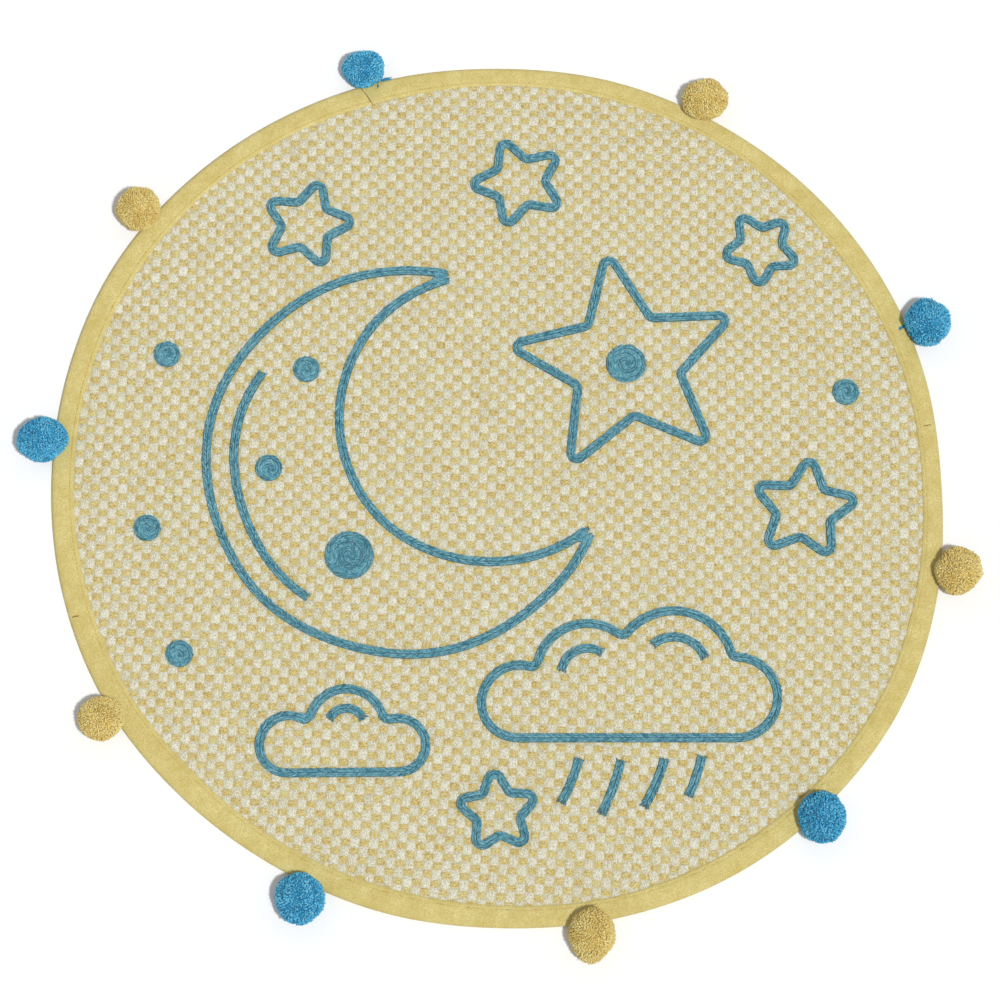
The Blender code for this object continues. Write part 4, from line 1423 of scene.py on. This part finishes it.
@dataclass
class Pompoms:
    """Clipped yarn balls: about two thousand curled ends on a tied middle, pressed on the floor and tape."""

    rim: Rim
    sower: Sower
    # name, bearing in degrees, radius, width, depth in millimetres, turn in degrees
    rows: tuple[tuple[str, float, float, float, float, float], ...] = (
        ("blue_right", 20.4, 462.0, 47.0, 49.5, 25),
        ("yellow_top_right", 62.3, 457.4, 49.0, 43.5, 47),
        ("blue_top", 107.9, 462.9, 44.5, 38.0, 85),
        ("yellow_left_top", 142.5, 467.7, 45.5, 46.0, 123),
        ("blue_left", 175.3, 459.6, 52.0, 45.5, 160),
        ("yellow_left_low", 212.2, 459.0, 45.5, 45.0, 201),
        ("blue_bottom_left", 245.5, 461.6, 49.5, 50.0, 222),
        ("yellow_bottom", 280.9, 462.9, 45.5, 53.0, 274),
        ("blue_low_right", 312.3, 461.9, 47.0, 52.0, 311),
        ("yellow_right", 347.9, 463.4, 47.0, 48.5, 350),
    )
    # by name: bearings in degrees of swellings and dents, and their share of the ball's reach
    swellings: tuple[tuple[str, tuple[tuple[float, float], ...]], ...] = (
        ("blue_right", ((215, -0.09), (262, 0.03), (60, 0.02))),
        ("yellow_top_right", ((150, -0.03), (265, -0.05), (350, 0.03))),
        ("blue_top", ((45, 0.08), (95, -0.05), (215, -0.05), (135, 0.02))),
        ("yellow_left_top", ((318, -0.06), (100, 0.02), (0, 0.02))),
        ("blue_left", ((142, -0.08), (318, -0.09), (172, 0.02), (20, 0.02))),
        ("yellow_left_low", ((322, -0.08), (355, 0.04), (90, -0.02))),
        ("blue_bottom_left", ((40, -0.03), (2, 0.03), (328, -0.04), (275, 0.04), (230, -0.03))),
        ("yellow_bottom", ((265, 0.05), (222, -0.04), (312, -0.05))),
        ("blue_low_right", ((60, 0.03), (20, -0.03), (330, 0.02), (225, -0.03))),
        ("yellow_right", ((240, 0.04), (308, -0.05), (130, -0.03))),
    )
    swelling_deg: float = 26.0
    uneven: float = 0.03
    clump_waves: float = 4.0  # how often a ball's outline swells and dips
    # the depth of the clefts by colour, as a share of the reach
    clefts: tuple[tuple[str, float], ...] = (("blue", 0.065), ("yellow", 0.03))
    cleft_waves: float = 6.0
    cleft_below: float = -1.3  # the level of the waves at which a cleft opens
    patch_share: float = 0.09  # how far the shade drifts over a ball
    ends_per_mm2: float = 1.04  # yarn ends on each square millimetre of its width by its depth
    root_share: float = 0.88
    height_share: float = 0.96
    settle: float = 0.90
    yarn: float = 1.0 * MM  # half a yarn end's thickness
    end_way: tuple[float, float, float] = (0.35 * MM, 0, 2.5 * MM)  # from its root to its tip
    end_taper: float = 0.62
    clearance: float = 0.3 * MM
    seed: int = 83

    def _end(self) -> bpy.types.Object:
        """One curled yarn end: a short stalk whose tip leans over."""
        Bench.clear()
        bpy.ops.mesh.primitive_circle_add(vertices=4, radius=self.yarn, fill_type="NGON")
        obj = Bench.made("yarn_end")
        Bench.edit(obj)
        bpy.ops.mesh.select_all(action="SELECT")
        bpy.ops.mesh.extrude_region_move(TRANSFORM_OT_translate={"value": self.end_way})
        bpy.ops.transform.resize(value=(self.end_taper,) * 3)
        Bench.face_out()
        Bench.smooth(obj, 180)
        return obj

    def build(self, finishes: dict[str, bpy.types.Material]) -> list[bpy.types.Object]:
        """Models the ten pompoms.

        Args:
            finishes: the materials by the first word of a pompom's name.

        Returns:
            The pieces.
        """
        end = self._end()
        made = []
        for index, row in enumerate(self.rows):
            colour = row[0].split("_")[0]
            piece = self._ball(row, end, np.random.default_rng(self.seed + index))
            made.append(finished(piece, finishes[colour], [f"pompom_{row[0]}"]))
        Bench.discard(end)
        return made

    def _ball(self, row: tuple, end: bpy.types.Object, draw: np.random.Generator) -> bpy.types.Object:
        """One pompom.

        Args:
            row: its name, place and size.
            end: the template of one yarn end.
            draw: the small differences of its ends.

        Returns:
            The joined mesh.
        """
        name, bearing_deg, reach_mm, width, depth, turn = row
        halves = np.array([width, depth, self.height_share * (width + depth) / 2]) * MM / 2
        bearing = math.radians(bearing_deg)
        middle = np.array([math.cos(bearing), math.sin(bearing), 0]) * reach_mm * MM
        middle[2] = self.settle * halves[2]
        count = round(self.ends_per_mm2 * width * depth)
        golden = math.pi * (3 - math.sqrt(5))
        z = 1 - 2 * (np.arange(count) + 0.5) / count
        around = golden * np.arange(count) + math.radians(turn)
        flat = np.sqrt(1 - z * z)
        ways = np.column_stack([flat * np.cos(around), flat * np.sin(around), z])
        ways += draw.normal(0, 0.022, (count, 3))
        ways /= np.linalg.norm(ways, axis=1)[:, None]
        clumps = draw.normal(0, self.clump_waves, (5, 3)), draw.uniform(0, math.tau, 5)
        surface = ways * self._reach(name, ways, halves, clumps)[:, None]
        lift = self.root_share + draw.normal(0, 0.014, count)
        clefts = draw.normal(0, self.cleft_waves, (3, 3)), draw.uniform(0, math.tau, 3)
        depth_share = dict(self.clefts)[name.split("_")[0]]
        lift -= depth_share * (np.sin(ways @ clefts[0].T + clefts[1]).sum(axis=1) < self.cleft_below)
        places = middle + surface * lift[:, None]
        turns = []
        for way, spin, lean in zip(ways, draw.uniform(0, math.tau, count), draw.normal(0, 0.22, (count, 2))):
            stand = Vector(way).to_track_quat("Z", "Y")
            tilt = Euler((lean[0], lean[1], spin)).to_quaternion()
            turns.append(tuple((stand @ tilt).to_euler()))
        sizes = np.column_stack([draw.uniform(0.8, 1.2, (count, 2)), draw.uniform(0.85, 1.12, count)])
        patches = np.sin(ways @ clefts[0].T * 0.6 + clefts[1]).sum(axis=1)
        shades = np.clip(draw.normal(0.5, 0.18, count) + self.patch_share * patches, 0, 1)
        tufts = self.sower.lay(f"{name}_ends", end, places, np.array(turns), sizes, shades)
        core = self._core(name, halves, clumps)
        put(core, middle + places_of(core))
        ball = Bench.join(f"clipped_{name}", [tufts, core])
        laid = places_of(ball)
        away = laid - middle
        distance = np.linalg.norm(away, axis=1)
        way = away / distance[:, None]
        full = self._reach(name, way, halves, clumps)
        limit = np.minimum(full * 1.03, self._room(way, middle))
        kept = np.minimum(distance, limit)
        put(ball, middle + way * kept[:, None])
        # The depth mark: how deep each place lies among the yarn ends, which the finish paints darker as shade.
        mark(ball, "depth", np.clip((distance / full - 0.86) / 0.13, 0, 1))
        return ball

    def _reach(self, name: str, ways: np.ndarray, halves: np.ndarray, clumps: tuple) -> np.ndarray:
        """How far a ball reaches each way from its middle.

        Args:
            name: the ball's name.
            ways: rows of unit vectors.
            halves: its half width, depth and height.
            clumps: the directions and phases of its unevenness.

        Returns:
            The distances.
        """
        full = 1 / np.sqrt(((ways / halves) ** 2).sum(axis=1))
        share = 1 + self.uneven * np.sin(ways @ clumps[0].T + clumps[1]).sum(axis=1) / 2
        bearing = np.degrees(np.arctan2(ways[:, 1], ways[:, 0]))
        level = 1 - ways[:, 2] ** 2
        for at, swell in dict(self.swellings)[name]:
            away = (bearing - at + 180) % 360 - 180
            share += swell * level * np.exp(-((away / self.swelling_deg) ** 2))
        return full * share

    def _core(self, name: str, halves: np.ndarray, clumps: tuple) -> bpy.types.Object:
        """The tied middle, about the origin, painted dark as shade where it shows between the yarn ends."""
        Bench.clear()
        bpy.ops.mesh.primitive_ico_sphere_add(subdivisions=3, radius=1)
        obj = Bench.made(f"{name}_middle")
        ways = places_of(obj)
        ways /= np.linalg.norm(ways, axis=1)[:, None]
        put(obj, ways * 0.9 * self._reach(name, ways, halves, clumps)[:, None])
        Bench.smooth(obj, 180)
        # A dark tone on the middle: painted shade where it shows between the yarn ends.
        mark(obj, "shade", np.array(0.2))
        return obj

    def _room(self, way: np.ndarray, middle: np.ndarray) -> np.ndarray:
        """How far a yarn end may go each way from a ball's middle before the floor or the bound edge.

        Args:
            way: rows of unit vectors.
            middle: the ball's middle.

        Returns:
            The distances.
        """
        down = np.minimum(way[:, 2], -1e-6)
        room = np.where(way[:, 2] < 0, (middle[2] - 0.05 * MM) / -down, np.inf)
        out = np.array([middle[0], middle[1], 0]) / math.hypot(middle[0], middle[1])
        up = np.array([0.0, 0.0, 1.0])
        radius = float(self.rim.at(np.array([math.atan2(middle[1], middle[0])]))[0][0])
        crest = out * (radius - 2.2 * MM) + up * (TAPE_TOP - 0.1 * MM)
        bend = out * (radius - 0.45 * MM) + up * (5.45 - 1.1) * MM
        fall = crest - bend
        slant = out * fall[2] - up * fall.dot(out)
        entered = np.zeros(len(way))
        faces = ((out * radius, out), (crest, slant / np.linalg.norm(slant)), (up * TAPE_TOP, up))
        for point, normal in faces:
            height = (middle - point - normal * self.clearance).dot(normal)
            if height <= 0:
                continue
            toward = -(way @ normal)
            entered = np.maximum(entered, np.where(toward > 1e-6, height / np.maximum(toward, 1e-6), np.inf))
        return np.minimum(room, entered)


# Tie ends and tacks


@dataclass
class Ties:
    """Short threads on and beside the tape: pompom tie ends, tacks, and the join's seam, which is also painted
    shade.
    """

    # name, colour, first and last point in millimetres, half thickness, strands, spread at the tip
    rows: tuple[tuple, ...] = (
        ("tie_blue_top", "blue", (-124.5, 432.6, 6.6), (-112.6, 435.6, 6.0), 0.5, 5, 1.7),
        ("stitch_blue_top", "blue", (-127.6, 428.4, 7.3), (-127.5, 422.4, 7.2), 0.5, 2, 0.5),
        ("stitch_blue_right", "blue", (415.0, 164.6, 7.3), (405.8, 158.8, 7.2), 0.7, 3, 1.3),
        ("tack_right", "brown", (426.6, 56.2, 7.15), (434.8, 57.2, 7.1), 0.42, 1, 0.0),
        ("tack_left", "brown", (-416.6, -139.6, 7.15), (-423.4, -141.6, 7.1), 0.5, 1, 0.0),
        # partly the join's seam, partly painted shade in the gap under the lap's folded edge
        ("seam_join", "brown", (-145.0, 423.6, 7.1), (-132.2, 405.0, 7.2), 0.34, 1, 0.0),
    )
    stray: float = 0.45 * MM
    tip_share: float = 0.6  # a strand's thickness at its tip
    seed: int = 61

    def build(self, finishes: dict[str, bpy.types.Material]) -> list[bpy.types.Object]:
        """Models every thread.

        Args:
            finishes: the materials by colour.

        Returns:
            The pieces.
        """
        draw = np.random.default_rng(self.seed)
        made = []
        for name, colour, first, last, half, strands, spread in self.rows:
            ends = np.array([first, last]) * MM
            way = ends[1] - ends[0]
            aside = np.array([-way[1], way[0], 0.0]) / math.hypot(way[0], way[1])
            parts = []
            for fan in np.linspace(-1, 1, strands) if strands > 1 else [0.0]:
                share = np.linspace(0, draw.uniform(0.75, 1.0) if strands > 1 else 1.0, 6)[:, None]
                stray = draw.normal(0, self.stray, 6)[:, None] * np.array([[0], [1], [1], [1], [1], [0]])
                points = ends[0] + way * share + aside * (fan * spread * MM * (0.25 + 0.75 * share) + stray)
                parts.append(self._thread(f"{name}_strand", points, half * MM))
            piece = Bench.join(name, parts)
            mark(piece, "shade", np.array(0.3))
            mark(piece, "depth", np.array(0.3))
            made.append(finished(piece, finishes[colour]))
        return made

    def _thread(self, name: str, points: np.ndarray, half: float) -> bpy.types.Object:
        """One thread along points, tapered at its last."""
        obj = Bench.drawn(
            name, points, dimensions="3D", bevel_depth=half, bevel_resolution=1, use_fill_caps=True
        )
        obj.data.splines[0].points[-1].radius = self.tip_share
        Bench.take(obj)
        bpy.ops.object.convert(target="MESH")
        obj = Bench.made(name)
        Bench.smooth(obj, 60)
        return obj


# The studio


@dataclass
class Studio:
    """The pale floor, the light and the camera."""

    elevation_deg: float = 75.0
    distance: float = 2.7
    target: tuple[float, float, float] = (0.0, -0.0194, 0.0)
    focal_px: float = 2691.0
    picture_px: float = 1000.0
    sensor_mm: float = 36.0
    key_place: tuple[float, float, float] = (0.96, -1.32, 4.1)
    key_radius: float = 0.17
    key_on_floor: float = 2.25  # watts on each square metre of the floor
    sky_strength: float = 0.42

    def build(self) -> None:
        """Sets up everything that isn't part of the rug."""
        self._floor()
        self._camera()
        self._light()

    def _floor(self) -> None:
        """A wide flat floor just under the rug."""
        Bench.clear()
        bpy.ops.mesh.primitive_plane_add(size=16, location=(0, 0, -FLOOR_DROP))
        floor = Bench.made("studio_floor")
        Bench.edit(floor)
        bpy.ops.mesh.select_all(action="SELECT")
        bpy.ops.mesh.subdivide(number_cuts=6)
        Bench.clear()
        floor.data.materials.append(FloorPaint().build())

    def _camera(self) -> None:
        """The photograph's angle, from above and a little in front."""
        data = bpy.data.cameras.new("studio_camera")
        data.sensor_width = self.sensor_mm
        data.lens = self.focal_px / self.picture_px * self.sensor_mm
        data.clip_end = 50
        camera = bpy.data.objects.new("studio_camera", data)
        rise = math.radians(self.elevation_deg)
        back = Vector((0, -math.cos(rise), math.sin(rise)))
        camera.location = Vector(self.target) + back * self.distance
        camera.rotation_euler = (-back).to_track_quat("-Z", "Y").to_euler()
        bpy.context.scene.collection.objects.link(camera)
        bpy.context.scene.camera = camera

    def _light(self) -> None:
        """A key lamp above the lower right, evened over the floor, and a white surround."""
        data = bpy.data.lights.new("studio_key", "POINT")
        data.shadow_soft_size = self.key_radius
        data.energy = self.key_on_floor * 4 * math.pi / self.key_place[2]
        data.use_nodes = True
        tree = data.node_tree
        even = node(tree, "ShaderNodeLightFalloff", {"Strength": 1.0}).outputs["Constant"]
        distance = node(tree, "ShaderNodeLightPath").outputs["Ray Length"]
        strength = node(tree, "ShaderNodeMath", {0: even, 1: distance}, operation="MULTIPLY").outputs[0]
        tree.links.new(strength, tree.nodes["Emission"].inputs["Strength"])
        key = bpy.data.objects.new("studio_key", data)
        key.location = self.key_place
        bpy.context.scene.collection.objects.link(key)
        world = bpy.data.worlds.new("studio_surround")
        world.use_nodes = True
        surround = world.node_tree.nodes["Background"]
        surround.inputs["Color"].default_value = (1, 1, 1, 1)
        surround.inputs["Strength"].default_value = self.sky_strength
        bpy.context.scene.world = world
        bpy.context.scene.view_settings.view_transform = "Standard"


def main() -> None:
    """Builds the rug's pieces and the studio round them."""
    logging.basicConfig(level=logging.INFO, format="%(name)s: %(message)s")
    Studio().build()
    rim, weave, sower, drawing = Rim(), Weave(), Sower(), Drawing()

    # Thin cloth off a loom: pale in the gaps between floats, so they read as cloth and not as holes.
    ground_finish = GroundCloth("ground_woven_cotton", "cabb8c", "dcd9c4", "d0b66c", weave).build()
    # Undyed cotton, spun loose: matt cream flecked pale and deep, the pale half of the checks, with shade
    # painted darker towards its foot and in its grooves.
    cream = Yarn(
        "warp_cream_spun_cotton", "b2a988", "d5d1b6", "ebece4", ShadeDepth.HEIGHT,
        low=FLOAT_FOOT, high=4.9 * MM, shaded=0.84, plies=(4.0, 7.0), fleck_mm=(1.1, 1.8, 1.0), fleck_share=1.25,
    ).build()
    # Cotton dyed in the hank and laid across: warm mustard streaked along its strands, the deep half, with shade
    # painted darker towards its foot and in its grooves.
    mustard = Yarn(
        "weft_mustard_spun_cotton", "ba9450", "d2c07c", "e0dcaa", ShadeDepth.HEIGHT,
        low=FLOAT_FOOT, high=4.9 * MM, shaded=0.84, plies=(6.0, 7.0), fleck_mm=(1.8, 1.1, 1.0), fleck_share=1.4,
    ).build()
    # Plain tape, dyed in the piece: an even, calm yellow round the busy weave.
    tape = TapeCotton("tape_plain_woven_cotton", "d7c67e", "e8dc9c", "ae984c").build()
    # Sewing thread, spun and dyed a tone deeper: faint dashes along the tape's inner edge, each painted dark as
    # shade at its ends, where it dives into the tape.
    thread = Yarn(
        "thread_yellow_spun_cotton", "b89a48", "d4ba6a", "e4ce86", ShadeDepth.HEIGHT,
        low=6.3 * MM, high=6.85 * MM, shaded=0.42,
    ).build()
    # Cotton dyed in the hank and plaited: dusty blue crests over grooves painted dark as shade, a drawn line
    # from afar.
    blue = Yarn(
        "braid_blue_spun_cotton", "347084", "5fa2b4", "92c4cc", ShadeDepth.HEIGHT,
        low=6.2 * MM, high=8.6 * MM, shaded=0.55, plies=(2.0, 5.0),
    ).build()
    # Soft yarn, dyed and clipped: bright tips over roots painted dark as shade, which make the balls look full.
    clipped = (1.4, 1.4, 1.4)
    pompom_blue = Yarn(
        "pompom_blue_spun_cotton", "2089bc", "46b8e4", "86dcf8", ShadeDepth.MARK, shaded=0.45, fleck_mm=clipped
    ).build()
    # The same yarn dyed yellow: pale, with less shade painted at its roots, so they stay warm and its grain
    # soft.
    pompom_yellow = Yarn(
        "pompom_yellow_spun_cotton", "d2b260", "e7d07c", "f4e8a8", ShadeDepth.MARK, shaded=0.76, fleck_mm=clipped
    ).build()
    # Spun thread dyed brown: small dark tacks, and a thin line at the tape's join that is partly seam and partly
    # painted shade under the fold.
    brown = Yarn("tack_brown_spun_cotton", "7c5a26", "94703a", "ab8850", ShadeDepth.MARK, shaded=0.8).build()
    # The tape's own cloth, folded under at its end: a little paler than the rest of the tape.
    folded = TapeCotton("tape_end_plain_woven_cotton", "dacb88", "e6dba0", "bea85c").build()

    field = Field(rim, weave, sower)
    ground = field.ground(ground_finish)
    pieces = [field.warp(cream), field.weft(mustard)]
    binding = Binding(rim, sower)
    pieces += [binding.tape(tape), binding.stitches(thread), binding.lap(folded)]
    pieces += Braids(drawing, sower).build(blue)
    pieces += Pompoms(rim, sower).build({"blue": pompom_blue, "yellow": pompom_yellow})
    pieces += Ties().build({"blue": pompom_blue, "brown": brown})
    Bench.clear()


if __name__ == "__main__":
    main()
